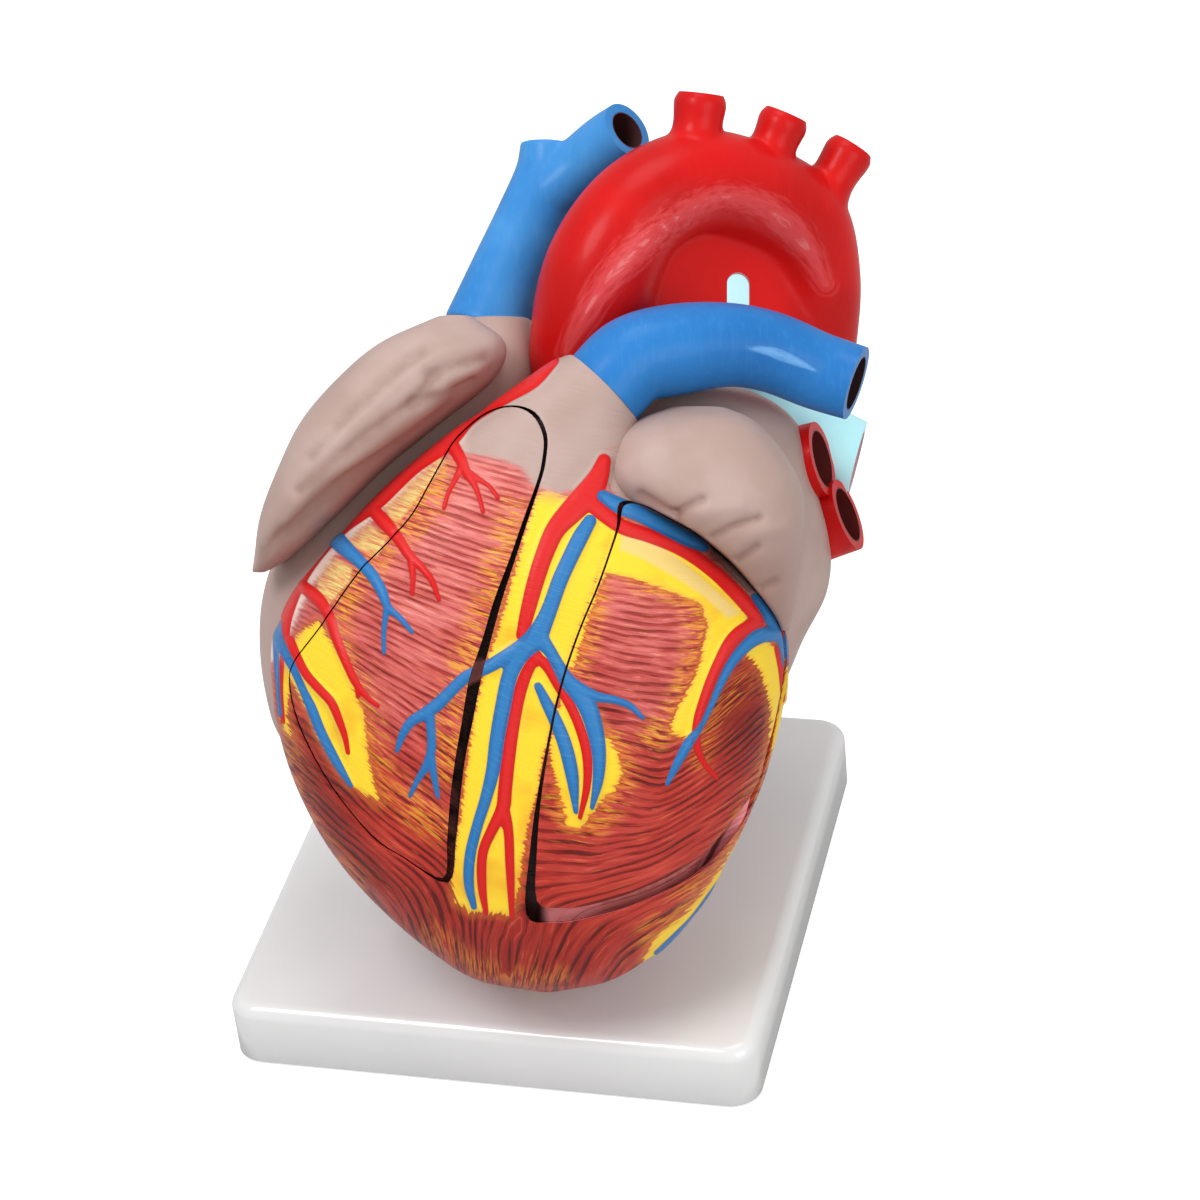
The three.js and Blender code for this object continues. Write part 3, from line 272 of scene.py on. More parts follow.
def straight(start, end, radius):
    """Points of a straight line with one radius."""
    start, end = np.array(start, float), np.array(end, float)
    return [(*place, radius) for place in (start, (start + end) / 2, end)]


def rod(start, end, radius, sides=48):
    return tube(straight(start, end, radius), sides=sides, step=WHOLE)


def prism(outline, low, high):
    """Closed straight body through an outline of (x, y) points."""
    n = len(outline)
    verts = [(x, y, low) for x, y in outline] + [(x, y, high) for x, y in outline]
    faces = [tuple(range(n))[::-1], tuple(range(n, 2 * n))]
    faces += [(i, (i + 1) % n, n + (i + 1) % n, n + i) for i in range(n)]
    return mesh_object("prism", verts, faces)


# Camera and projection

camera_data = bpy.data.cameras.new("camera")
camera_data.lens = CAMERA_LENS
camera_data.sensor_width = SENSOR_WIDTH
camera = bpy.data.objects.new("camera", camera_data)
camera.location = CAMERA_PLACE * MM
camera.rotation_euler = CAMERA_TURN
bpy.context.scene.collection.objects.link(camera)
bpy.context.scene.camera = camera
CAMERA_ARRAY = np.array(CAMERA_TURN.to_matrix())


def to_world(points):
    return points @ HEART_ARRAY[:3, :3].T + HEART_ARRAY[:3, 3]


def to_pixels(points):
    """Where points of the heart's frame lie in the photograph."""
    seen = (to_world(points) - CAMERA_PLACE) @ CAMERA_ARRAY
    scale = PIXELS_PER_UNIT / -seen[:, 2]
    return np.stack([PHOTO_MIDDLE + seen[:, 0] * scale, PHOTO_MIDDLE - seen[:, 1] * scale], axis=1)


def from_pixels(pixels, depth):
    """Points of the heart's frame at a depth Z that lie on the photograph's pixels."""
    pixels = np.array(pixels, float)
    right, up = pixels[:, 0] - PHOTO_MIDDLE, PHOTO_MIDDLE - pixels[:, 1]
    ray = np.stack([right, up, np.full(len(pixels), -PIXELS_PER_UNIT)], axis=1)
    ray = ray @ CAMERA_ARRAY.T @ HEART_ARRAY[:3, :3]
    eye = (CAMERA_PLACE - HEART_ARRAY[:3, 3]) @ HEART_ARRAY[:3, :3]
    return eye + ray * ((depth - eye[2]) / ray[:, 2])[:, None]


def from_world(points):
    inverse = np.array(HEART.inverted())
    return points @ inverse[:3, :3].T + inverse[:3, 3]


# Ventricles

# A soft body's stations: height Y, left and right X, front and back Z. Its power makes a section squarer
VENTRICLE_POWER = 2.35
VENTRICLES = [
    (-201, -10, -2, 4, -4), (-196, -36, 22, 22, -20), (-184, -57, 42, 38, -34), (-161, -84, 64, 55, -52),
    (-137, -105, 79, 66, -66), (-113, -119, 91, 73, -76), (-90, -128, 99, 78, -83), (-66, -133, 104, 81, -86),
    (-43, -133, 105, 83, -84), (-19, -124, 99, 84, -76), (0, -110, 80, 83, -64), (19, -92, 58, 80, -48),
    (38, -72, 42, 76, -30), (57, -48, 38, 71, -12), (75, -22, 38, 66, 6), (92, 2, 36, 60, 18),
]
VENTRICLE_LOW, VENTRICLE_HIGH = VENTRICLES[0][0], VENTRICLES[-1][0]
# Thickness of the shell and of the lift-off walls, and how far the shell's ledge reaches in under them
SHELL_WALL = 14.0
WALL_THICKNESS = 9.0
LEDGE = 8.0
# Where the room of each lift-off wall ends behind: height at Y = 0, and rise along Y
RIGHT_BACK = (12.8, 0.37)
LEFT_BACK = (20.0, 0.0)
# Clearance behind a seated wall
SEAT_GAP = 0.4


def ventricle_sections(heights):
    return sections(VENTRICLES, np.clip(heights, VENTRICLE_LOW, VENTRICLE_HIGH))


def front_depth(x, y):
    """Depth Z of the ventricles' front over points of the heart's frame."""
    mid_x, half_x, mid_z, half_z = ventricle_sections(y)
    share = np.minimum(np.abs((x - mid_x) / half_x), 0.995)
    return mid_z + half_z * (1 - share**VENTRICLE_POWER) ** (1 / VENTRICLE_POWER)


def on_front(pixels):
    """(x, y) in the heart's frame of the ventricles' front behind each pixel."""
    depth = np.full(len(pixels), 60.0)
    for _ in range(25):
        found = from_pixels(pixels, depth)
        depth = 0.5 * depth + 0.5 * front_depth(found[:, 0], found[:, 1])
    return from_pixels(pixels, depth)[:, :2]


# Paint of the front, in pixels of the photograph. ARTERIES, VEINS and WARM, the orange flecks, are lines:
# points with the line's half width. FAT, PALE_FAT_AND_SHEEN and BEIGE are closed areas

ARTERIES = [
    [(552, 360, 7), (533, 380, 8), (505, 396, 8), (470, 417, 8), (447, 441, 9.5), (413, 467, 8),
     (375, 503, 8), (340, 528, 8), (307, 567, 7.5), (291, 600, 7), (285, 630, 5), (287, 655, 4)],
    [(450, 442, 7), (460, 458, 6), (466, 472, 5), (475, 486, 3), (480, 500, 2), (483, 512, 1)],
    [(462, 466, 4), (455, 480, 2.6), (448, 494, 1.6), (444, 508, 0.8)],
    [(468, 472, 3.5), (480, 480, 2.6), (490, 487, 1.8), (498, 498, 0.8)],
    [(370, 507, 6), (385, 523, 7), (399, 540, 5.5), (409, 555, 5), (421, 567, 4), (432, 581, 3.2),
     (439, 600, 1.2)],
    [(411, 560, 4), (413, 578, 2.8), (412, 594, 1.2)],
    [(297, 582, 6), (318, 599, 6.5), (328, 614, 5.5), (337, 640, 5), (346, 662, 4.5), (356, 683, 4),
     (367, 697, 3), (378, 706, 1.2)],
    [(357, 684, 3), (358, 697, 1.2)],
    [(290, 640, 4.5), (298, 659, 4.5), (306, 674, 4.5), (320, 690, 4.5), (331, 702, 4.5), (339, 720, 4),
     (345, 737, 3), (348, 753, 1.2)],
    [(282, 655, 2.5), (281, 690, 2), (283, 722, 1.2)],
    [(604, 461, 7), (599, 476, 10), (589, 493, 13), (572, 511, 12), (556, 529, 10), (545, 553, 9),
     (536, 580, 8.5), (528, 610, 7.5), (522, 635, 6)],
    [(592, 503, 9), (608, 517, 8), (623, 527, 7.5), (650, 536, 7), (683, 550, 7), (713, 571, 7),
     (740, 597, 7.5), (758, 618, 7)],
    [(757, 622, 7), (735, 638, 7.5), (717, 668, 6), (704, 700, 5), (697, 725, 4.5), (697, 745, 4),
     (704, 763, 3), (717, 778, 1.2)],
    [(534, 655, 5), (547, 666, 5.5), (558, 684, 5.5), (570, 705, 5), (580, 728, 5), (587, 755, 5),
     (587, 785, 4), (580, 818, 1.5)],
    [(537, 655, 5), (527, 672, 6), (519, 695, 6.5), (513, 723, 7), (508, 760, 7), (505, 790, 7),
     (503, 808, 7), (492, 830, 5.5), (483, 852, 5), (482, 885, 4.5), (486, 913, 2.5)],
    [(503, 806, 6), (508, 828, 5), (510, 867, 4.5), (512, 918, 2.5)],
    [(777, 648, 3), (782, 672, 3.5), (783, 700, 2)],
]
VEINS = [
    [(590, 521, 6.5), (581, 536, 8), (571, 556, 8), (560, 580, 8), (551, 605, 8), (544, 622, 9),
     (536, 637, 11), (520, 655, 9), (510, 675, 8), (503, 707, 8), (497, 740, 7.5), (493, 770, 7),
     (486, 798, 6), (477, 827, 5.5), (470, 857, 5.5), (469, 885, 5), (474, 907, 3)],
    [(536, 637, 10), (518, 649, 7.5), (502, 659, 7), (486, 668, 6.5), (466, 677, 6), (450, 692, 6),
     (437, 705, 6.5), (424, 714, 6), (411, 722, 5), (402, 736, 4), (397, 751, 1.8)],
    [(429, 712, 5.5), (431, 730, 4.5), (431, 752, 4.5), (425, 768, 4), (417, 781, 3), (410, 796, 1.5)],
    [(431, 755, 4), (434, 776, 3.5), (438, 797, 1.5)],
    [(537, 636, 10), (549, 650, 6.5), (559, 667, 6.5), (568, 682, 8), (579, 693, 9.5), (588, 708, 9.5),
     (595, 730, 8.5), (599, 755, 7), (598, 780, 5.5), (592, 808, 2)],
    [(580, 690, 7), (598, 697, 5), (615, 700, 4), (630, 706, 3.5), (643, 718, 1.8)],
    [(538, 686, 4), (546, 702, 5.5), (556, 722, 6.5), (565, 745, 7), (572, 775, 6.5), (576, 812, 2.5)],
    [(325, 524, 6), (333, 536, 9), (345, 548, 8), (358, 560, 6.5), (372, 575, 6), (382, 592, 5.5),
     (388, 607, 4), (400, 618, 3), (412, 632, 1.5)],
    [(387, 607, 3.5), (384, 630, 2.5), (384, 653, 1.2)],
    [(277, 622, 4), (279, 640, 5), (286, 655, 4.5), (294, 670, 4), (303, 690, 4), (311, 707, 5),
     (321, 732, 5), (337, 763, 4.5), (351, 786, 1.5)],
    [(603, 496, 6), (618, 505, 8), (640, 514, 8), (665, 527, 8), (690, 540, 7.5), (704, 547, 5)],
    [(755, 597, 4), (765, 610, 5.5), (776, 628, 6.5), (783, 645, 5), (785, 665, 2.5)],
    [(778, 634, 7), (760, 636, 7.5), (745, 647, 6), (731, 664, 5), (720, 685, 4), (710, 708, 3),
     (700, 728, 3), (690, 741, 5), (678, 762, 4.5), (667, 784, 1.8)],
    [(276, 622, 3.5), (276, 650, 3), (278, 690, 2), (280, 715, 1.2)],
    [(656, 953, 2), (676, 935, 3), (692, 919, 3), (710, 894, 2), (727, 872, 3), (741, 848, 2)],
]
FAT = [
    [(537, 494), (548, 489), (562, 496), (585, 500), (600, 505), (619, 512), (606, 552), (584, 616),
     (560, 692), (548, 740), (541, 765), (538, 790), (525, 835), (518, 890), (512, 914), (470, 912),
     (455, 902), (452, 880), (457, 840), (464, 790), (473, 720), (488, 660), (508, 600), (526, 530)],
    [(303, 630), (318, 622), (330, 640), (345, 665), (355, 690), (362, 712), (366, 735), (368, 760),
     (378, 800), (366, 795), (350, 785), (335, 765), (318, 735), (305, 705), (290, 680), (286, 715),
     (291, 735), (283, 730), (278, 690), (279, 655)],
    [(612, 515), (640, 527), (670, 540), (705, 565), (735, 600), (748, 618), (735, 640), (718, 670),
     (706, 700), (698, 728), (690, 738), (672, 735), (672, 725), (680, 705), (692, 685), (700, 665),
     (705, 640), (708, 625), (700, 603), (673, 592), (633, 578), (607, 574), (598, 590), (590, 612),
     (585, 625), (582, 640), (572, 668), (567, 664), (578, 628), (592, 590), (604, 552)],
    [(550, 745), (556, 715), (562, 700), (575, 695), (598, 715), (605, 735), (617, 752), (622, 775),
     (612, 792), (595, 808), (580, 828), (567, 826), (562, 800), (553, 770)],
    [(743, 653), (752, 645), (767, 641), (780, 650), (790, 675), (790, 700), (784, 720), (776, 745),
     (768, 758), (770, 735), (771, 710), (767, 690), (760, 670), (752, 660)],
    [(643, 961), (654, 939), (685, 914), (707, 887), (725, 862), (741, 834), (759, 838), (747, 876),
     (718, 912), (693, 938), (658, 970)],
]
# Pale cream paint on the fat; the band along the top of the left wall is a painted highlight, the sheen of
# the gloss
PALE_FAT_AND_SHEEN = [
    [(380, 501), (436, 455), (446, 462), (398, 522), (390, 516)],
    [(343, 527), (362, 516), (386, 540), (377, 556), (352, 545)],
    [(316, 568), (327, 553), (352, 568), (350, 580), (328, 605), (318, 590)],
    [(622, 533), (650, 540), (682, 561), (712, 587), (740, 613), (728, 618), (704, 596), (672, 575),
     (640, 557), (620, 550)],
]
BEIGE = [
    [(452, 436), (466, 452), (500, 458), (522, 466), (535, 486), (560, 492), (583, 486), (603, 452),
     (640, 440), (680, 400), (680, 300), (540, 300), (470, 390), (440, 420)],
    [(533, 375), (505, 395), (452, 440), (410, 480), (375, 515), (340, 545), (310, 585), (291, 625),
     (280, 660), (200, 660), (200, 560), (300, 440), (420, 360), (500, 320)],
    [(604, 448), (650, 440), (700, 470), (760, 530), (800, 600), (790, 626), (766, 614), (745, 588),
     (722, 561), (700, 540), (650, 514), (618, 500), (607, 480)],
]
WARM = [
    [(440, 470, 9), (425, 500, 14), (405, 525, 14), (385, 550, 10), (362, 580, 8), (345, 605, 6),
     (340, 640, 6), (352, 672, 6), (366, 710, 9), (374, 750, 10), (384, 795, 9)],
    [(512, 505, 6), (505, 540, 11), (492, 590, 12), (478, 630, 12), (462, 670, 12), (452, 720, 12),
     (446, 770, 10)],
    [(398, 790, 10), (420, 812, 14), (440, 830, 10)],
    [(600, 590, 5), (588, 630, 8), (578, 665, 8), (575, 690, 8)],
    [(640, 580, 8), (690, 602, 9), (698, 640, 9), (690, 680, 10), (672, 720, 10), (650, 740, 8)],
    [(612, 740, 8), (622, 770, 10), (612, 800, 10), (580, 830, 8), (556, 800, 6)],
    [(775, 745, 5), (755, 800, 8), (725, 855, 9), (690, 895, 9), (650, 935, 9)],
    [(288, 740, 6), (298, 790, 5), (320, 838, 4), (360, 880, 3)],
    [(430, 930, 3), (470, 962, 5), (520, 978, 5), (560, 975, 3)],
    [(745, 680, 6), (715, 720, 5), (700, 760, 5)],
]
# How light the muscle is at some places: x, y and a share
TONES = [
    (450, 540, 0.85), (420, 620, 0.8), (480, 480, 0.9), (370, 640, 0.7), (400, 700, 0.7), (430, 800, 0.5),
    (400, 850, 0.35), (330, 820, 0.15), (370, 880, 0.12), (450, 930, 0.2), (540, 950, 0.2), (640, 620, 0.75),
    (650, 700, 0.7), (620, 800, 0.5), (680, 800, 0.35), (740, 720, 0.1), (640, 860, 0.4), (700, 860, 0.35),
    (600, 930, 0.25), (300, 780, 0.1), (590, 860, 0.45), (560, 600, 0.6), (760, 780, 0.3),
]
# Direction of the muscle strokes: x, y and degrees from the picture's horizontal
STROKES = [
    (460, 500, -18), (430, 560, -6), (480, 560, -8), (380, 600, -14), (450, 640, -14), (360, 680, -30),
    (420, 720, -26), (360, 760, -42), (430, 800, -34), (400, 850, -40), (330, 800, -58), (300, 740, -66),
    (350, 880, -58), (420, 920, -66), (480, 960, -78), (630, 600, -14), (600, 650, -20), (660, 660, -16),
    (650, 720, -20), (560, 780, -2), (600, 800, -8), (640, 790, -24), (570, 860, -18), (620, 870, 14),
    (680, 820, 46), (720, 790, 58), (740, 720, 66), (690, 870, 52), (650, 920, 58), (590, 950, 66),
    (540, 960, 76), (770, 760, 68), (700, 760, 40),
]
# The lift-off walls' outlines, and the openings that they sit in
RIGHT_WALL = [
    (443, 878), (404, 857), (372, 835), (332, 786), (303, 733), (291, 692), (294, 664), (321, 627),
    (358, 574), (390, 541), (413, 514), (430, 484), (450, 449), (464, 432), (487, 414), (512, 407),
    (532, 415), (543, 436), (542, 460), (537, 481), (523, 520), (509, 560), (494, 600), (482, 640),
    (469, 680), (462, 720), (455, 760), (450, 800), (447, 840),
]
RIGHT_OPENING = [
    (448, 883), (403.6, 858.2), (371.3, 836.2), (331, 786.6), (301.8, 733.6), (289.7, 692.2), (292.8, 663.4),
    (319.9, 625.9), (356.9, 572.9), (388.9, 539.9), (411.9, 512.9), (428.8, 482.9), (448.8, 447.9),
    (462.9, 430.8), (486.4, 412.4), (512, 405.2), (535, 412),
    (547, 434), (546, 460), (541, 481), (528, 520), (515, 560), (502, 600), (491, 640), (481, 680),
    (473, 720), (465, 760), (460, 800), (456, 840),
]
LEFT_WALL = [
    (624, 506), (641, 505), (667, 518), (692, 532), (713, 548), (735, 568), (759, 596), (777, 623),
    (783.5, 655), (779, 700), (768, 747), (752, 794), (701, 856), (641, 889), (590, 905), (560, 908),
    (537, 901), (537, 850), (541, 800), (549.5, 745), (557.5, 705), (568.5, 665), (582.7, 625),
    (599.5, 585), (613.5, 545), (620, 525),
]
LEFT_OPENING = [
    (619.5, 503), (641, 502.5), (669, 515.5), (694, 529.5), (715.5, 546), (738, 566.5), (761.5, 594.5),
    (780.5, 621), (787.5, 655), (784, 700), (774, 749), (758, 800), (706, 867), (644, 901), (590, 918),
    (552, 923), (526, 914), (530, 850), (536.5, 800), (546.7, 745), (555, 705), (566.2, 665), (580.6, 625),
    (597.3, 585), (611.3, 545), (616.8, 525),
]

# Paint of the back, in millimetres of the heart's frame: points with the line's half width
BACK_ARTERIES = [
    [(-123, -36, 3.5), (-104, -22, 3.5), (-70, -12, 3.5), (-30, -8, 3.5), (-16, -14, 3.2), (-20, -50, 3),
     (-22, -100, 2.6), (-14, -150, 2), (-8, -180, 1)],
    [(-74, -14, 2.6), (-84, -50, 2.2), (-78, -90, 1.4), (-70, -110, 0.8)],
    [(101, -40, 3), (92, -95, 2.8), (72, -145, 2.2), (44, -180, 1.2)],
    [(84, -22, 3), (60, -10, 2.8), (30, -10, 2)],
    [(-19, -80, 1.8), (-40, -104, 1.4), (-52, -130, 0.8)],
]
BACK_VEINS = [
    [(104, -34, 3.4), (80, -14, 4.4), (40, 0, 5.2), (0, -2, 5.6), (-28, -4, 5.6)],
    [(-28, -6, 4), (-30, -50, 3.4), (-32, -100, 2.8), (-24, -150, 2), (-20, -175, 1)],
    [(44, -2, 3.4), (56, -50, 3), (62, -100, 2.4), (56, -140, 1.2)],
    [(104, -50, 2.4), (96, -100, 2.2), (78, -145, 1.6), (54, -176, 0.9)],
    [(-60, -8, 2.4), (-100, -40, 2), (-104, -80, 1.2)],
]
BACK_FAT = [
    [(-120, -30, 9), (-80, -10, 13), (-20, -4, 15), (40, -4, 14), (90, -24, 12), (102, -50, 8)],
    [(-24, -10, 13), (-26, -60, 11), (-28, -110, 9), (-20, -160, 6), (-14, -185, 3)],
    [(98, -50, 8), (92, -100, 8), (76, -144, 7), (52, -176, 5)],
]

# Corner and size of the painted fields: the front's in pixels, the back's in millimetres
FIELD_X, FIELD_Y, FIELD_W, FIELD_H = 200, 280, 640, 740
BACK_X, BACK_Y, BACK_W, BACK_H = -150, -210, 300, 330
STROKE_STEP = 10
# Lines are measured up to REACH from themselves, and FAR stands for anything beyond
REACH = 40.0
FAR = 99.0
# Least half width of a painted vessel, so that its tip doesn't break into dots
VESSEL_TIP = 2.2
# Pixels added to the distance from a given sample, so that no sample stands out as a spot
SAMPLE_SOFTNESS = 12
# What the back has where only the front is painted
BACK_GAP = 30
BACK_TONE = 0.3


def segment_gap(x, y, start, end):
    """Distance from points to a straight piece of a line, and the share of it where the nearest place is."""
    dx, dy = end[0] - start[0], end[1] - start[1]
    t = np.clip(((x - start[0]) * dx + (y - start[1]) * dy) / max(dx * dx + dy * dy, 1e-9), 0, 1)
    return np.hypot(x - start[0] - t * dx, y - start[1] - t * dy), t


def line_distance(lines, x, y, step=3.0, least=0.0):
    """Distance to the edges of lines with half widths of at least some size, less than 0 inside them."""
    found = np.full(x.shape, FAR)
    flat = found.ravel()
    for line in lines:
        path = smooth_line([(a, b, 0.0, max(w, least)) for a, b, w in line], step)
        low, high = path[:, :2].min(0) - REACH, path[:, :2].max(0) + REACH
        near = np.flatnonzero(((x > low[0]) & (x < high[0]) & (y > low[1]) & (y < high[1])).ravel())
        px, py = x.ravel()[near], y.ravel()[near]
        best = flat[near]
        for start, end in zip(path[:-1], path[1:]):
            gap, t = segment_gap(px, py, start, end)
            best = np.minimum(best, gap - (start[3] + t * (end[3] - start[3])))
        flat[near] = best
    return flat.reshape(x.shape)


def area_distance(areas, x, y, smooth=False):
    """Distance to the edges of closed areas, less than 0 inside them."""
    found = np.full(x.shape, FAR)
    for area in areas:
        points = closed_curve(area, 6) if smooth else np.array(area, float)
        inside = np.zeros(x.shape, bool)
        gap = np.full(x.shape, FAR)
        for (ax, ay), (bx, by) in zip(points, np.roll(points, -1, axis=0)):
            gap = np.minimum(gap, segment_gap(x, y, (ax, ay), (bx, by))[0])
            dx, dy = bx - ax, by - ay
            inside ^= ((ay > y) != (by > y)) & (x < dx * (y - ay) / (dy if abs(dy) > 1e-9 else 1e-9) + ax)
        found = np.minimum(found, np.where(inside, -gap, gap))
    return found


def closed_curve(points, parts):
    """Points of a smooth closed line, parts of them for each point given."""
    p = np.array(points, float)
    out = []
    for i in range(len(p)):
        a, b, c, d = p[i - 1], p[i], p[(i + 1) % len(p)], p[(i + 2) % len(p)]
        for t in np.arange(parts) / parts:
            out.append(0.5 * (2 * b + (c - a) * t + (2 * a - 5 * b + 4 * c - d) * t**2
                              + (3 * b - a - 3 * c + d) * t**3))
    return np.array(out)


def field_grid(left, top, width, height, step=1):
    """x and y of every place of a field."""
    y, x = np.mgrid[top : top + height + 1 : step, left : left + width + 1 : step].astype(float)
    return x, y


def eased_samples(samples, x, y):
    """Values given at some points, eased over a plane. samples is (x, y, values...)."""
    s = np.array(samples, float)
    total = np.zeros((*x.shape, s.shape[1] - 2))
    weights = np.zeros(x.shape)
    for row in s:
        weight = 1 / (np.hypot(x - row[0], y - row[1]) + SAMPLE_SOFTNESS) ** 3.0
        total += weight[..., None] * row[2:]
        weights += weight
    return total / weights[..., None]


def gathered(across, down):
    """What each place of a field gets over its four sides, from flows along rows and down columns."""
    found = np.zeros((across.shape[0], down.shape[1]))
    found[:, 1:] += across
    found[:, :-1] -= across
    found[1:] += down
    found[:-1] -= down
    return found


def stroke_potentials():
    """Two smooth fields over the photograph: distance along the muscle strokes, and across them.

    Each is the field whose slopes come closest to the strokes' directions, found by conjugate gradients.
    """
    x, y = field_grid(FIELD_X, FIELD_Y, FIELD_W, FIELD_H, STROKE_STEP)
    # Angles are doubled while they are eased, because a stroke has no head and no tail
    doubled = [(a, b, math.cos(2 * math.radians(t)), math.sin(2 * math.radians(t))) for a, b, t in STROKES]
    turn = eased_samples(doubled, x, y)
    angle = 0.5 * np.arctan2(turn[..., 1], turn[..., 0])
    # A picture's rows run downwards
    ways = [(np.cos(angle), -np.sin(angle)), (np.sin(angle), np.cos(angle))]
    fields = []
    for gx, gy in ways:
        gx, gy = gx * STROKE_STEP, gy * STROKE_STEP
        rest = gathered((gx[:, 1:] + gx[:, :-1]) / 2, (gy[1:] + gy[:-1]) / 2)
        found, way, size = np.zeros(x.shape), rest.copy(), (rest**2).sum()
        for _ in range(400):
            spread = gathered(np.diff(way, axis=1), np.diff(way, axis=0))
            pace = size / max((way * spread).sum(), 1e-12)
            found += pace * way
            rest -= pace * spread
            new = (rest**2).sum()
            way = rest + way * (new / size)
            size = new
            if size < 1e-6:
                break
        fields.append(found * MM_PER_PIXEL)
    return fields


def sample(field, x, y, left, top, step):
    """Bilinear value of a field at points."""
    u = np.clip((x - left) / step, 0, field.shape[1] - 1.001)
    v = np.clip((y - top) / step, 0, field.shape[0] - 1.001)
    i, j = u.astype(int), v.astype(int)
    fu, fv = u - i, v - j
    upper = field[j, i] * (1 - fu) + field[j, i + 1] * fu
    lower = field[j + 1, i] * (1 - fu) + field[j + 1, i + 1] * fu
    return upper * (1 - fv) + lower * fv


def paint_maps():
    """Distances in millimetres to what is painted on the front and on the back, and the front's tone."""
    x, y = field_grid(FIELD_X, FIELD_Y, FIELD_W, FIELD_H)
    front = {
        "artery": line_distance(ARTERIES, x, y, least=VESSEL_TIP),
        "vein": line_distance(VEINS, x, y, least=VESSEL_TIP),
        "warm": line_distance(WARM, x, y),
        "fat": area_distance(FAT, x, y),
        "pale": area_distance(PALE_FAT_AND_SHEEN, x, y),
        "beige": area_distance(BEIGE, x, y),
        "seam": np.abs(area_distance([RIGHT_WALL, LEFT_WALL], x, y, True)),
        "rim": np.abs(area_distance([RIGHT_OPENING, LEFT_OPENING], x, y, True)),
    }
    front = {name: field * MM_PER_PIXEL for name, field in front.items()}
    front["tone"] = eased_samples(TONES, x, y)[..., 0]
    x, y = field_grid(BACK_X, BACK_Y, BACK_W, BACK_H)
    back = {
        "artery": line_distance(BACK_ARTERIES, x, y, 4.0),
        "vein": line_distance(BACK_VEINS, x, y, 4.0),
        "fat": line_distance(BACK_FAT, x, y, 6.0),
    }
    return front, back


FRONT_MAP, BACK_MAP = paint_maps()
STROKE_FIELDS = stroke_potentials()


def eased(low, high, value):
    """0 at low and 1 at high, eased between them and held beyond them."""
    t = np.clip((value - low) / (high - low), 0, 1)
    return t * t * (3 - 2 * t)


def facing(points):
    """1 on the ventricles' front and 0 on their back, from where points lie in their section."""
    _, _, mid_z, half_z = ventricle_sections(points[:, 1])
    return eased(-0.3, 0.0, (points[:, 2] - mid_z) / half_z)


def paint_at(points):
    """Every painted field at points of the heart's frame."""
    pixels = to_pixels(points)
    front = facing(points)
    found = {}
    for name, field in FRONT_MAP.items():
        found[name] = sample(field, pixels[:, 0], pixels[:, 1], FIELD_X, FIELD_Y, 1)
    for name, field in BACK_MAP.items():
        behind = sample(field, points[:, 0], points[:, 1], BACK_X, BACK_Y, 1)
        found[name] = found[name] * front + behind * (1 - front)
    for name in ("pale", "beige", "seam", "rim", "warm"):
        found[name] = found[name] * front + BACK_GAP * (1 - front)
    found["tone"] = found["tone"] * front + BACK_TONE * (1 - front)
    for name, field in zip(("along", "across"), STROKE_FIELDS):
        found[name] = sample(field, pixels[:, 0], pixels[:, 1], FIELD_X, FIELD_Y, STROKE_STEP)
    return found


VESSEL_RISE = {"artery": 1.9, "vein": 2.2}
FAT_RISE = 0.5
SEAM_DIP = {"seam": 0.4, "rim": 0.3}
DIP_WIDTH = 0.8


def relief(paint):
    """Height of the painted surface over the plain one: raised vessels and fat, rounded seams."""
    height = np.zeros(len(paint["artery"]))
    for name, rise in VESSEL_RISE.items():
        height = np.maximum(height, rise * np.sqrt(eased(1.6, -3.4, paint[name])))
    height += FAT_RISE * eased(1.5, -2.5, paint["fat"])
    dips = [dip * np.exp(-((paint[name] / DIP_WIDTH) ** 2)) for name, dip in SEAM_DIP.items()]
    return height - sum(dips)


def ventricle_surface():
    """The whole painted body of the ventricles, with finer steps over the front than over the back."""
    rows = int(290 / DETAIL)
    front = np.linspace(-0.12, math.pi + 0.12, int(340 / DETAIL), endpoint=False)
    back = np.linspace(math.pi + 0.12, 2 * math.pi - 0.12, int(150 / DETAIL), endpoint=False)
    span = VENTRICLE_HIGH - VENTRICLE_LOW
    # Rows a little closer to each other at both ends
    crowded = VENTRICLE_LOW + span * (0.5 - 0.5 * np.cos(np.linspace(0, math.pi, rows))) * 0.25
    heights = crowded + (np.linspace(VENTRICLE_LOW, VENTRICLE_HIGH, rows) - VENTRICLE_LOW) * 0.75
    points = loft_points(VENTRICLES, heights, np.concatenate([front, back]), VENTRICLE_POWER)
    obj = closed_grid(points)
    plain = coordinates(obj)
    set_coordinates(obj, plain + normals(obj) * relief(paint_at(plain))[:, None])
    return obj


def ventricle_inside(inset):
    """The plain ventricles, smaller by an inset."""
    heights = np.linspace(VENTRICLE_LOW, VENTRICLE_HIGH, int(110 / DETAIL))
    angles = np.linspace(0, 2 * math.pi, int(140 / DETAIL), endpoint=False)
    return closed_grid(loft_points(VENTRICLES, heights, angles, VENTRICLE_POWER, inset))


# From where to where along Z a window's prism runs, and the corners of the block that trims its back
WINDOW_REACH = (2, 190)
BEHIND_CORNERS = ((-200, -260), (200, -260), (200, 160), (-200, 160))


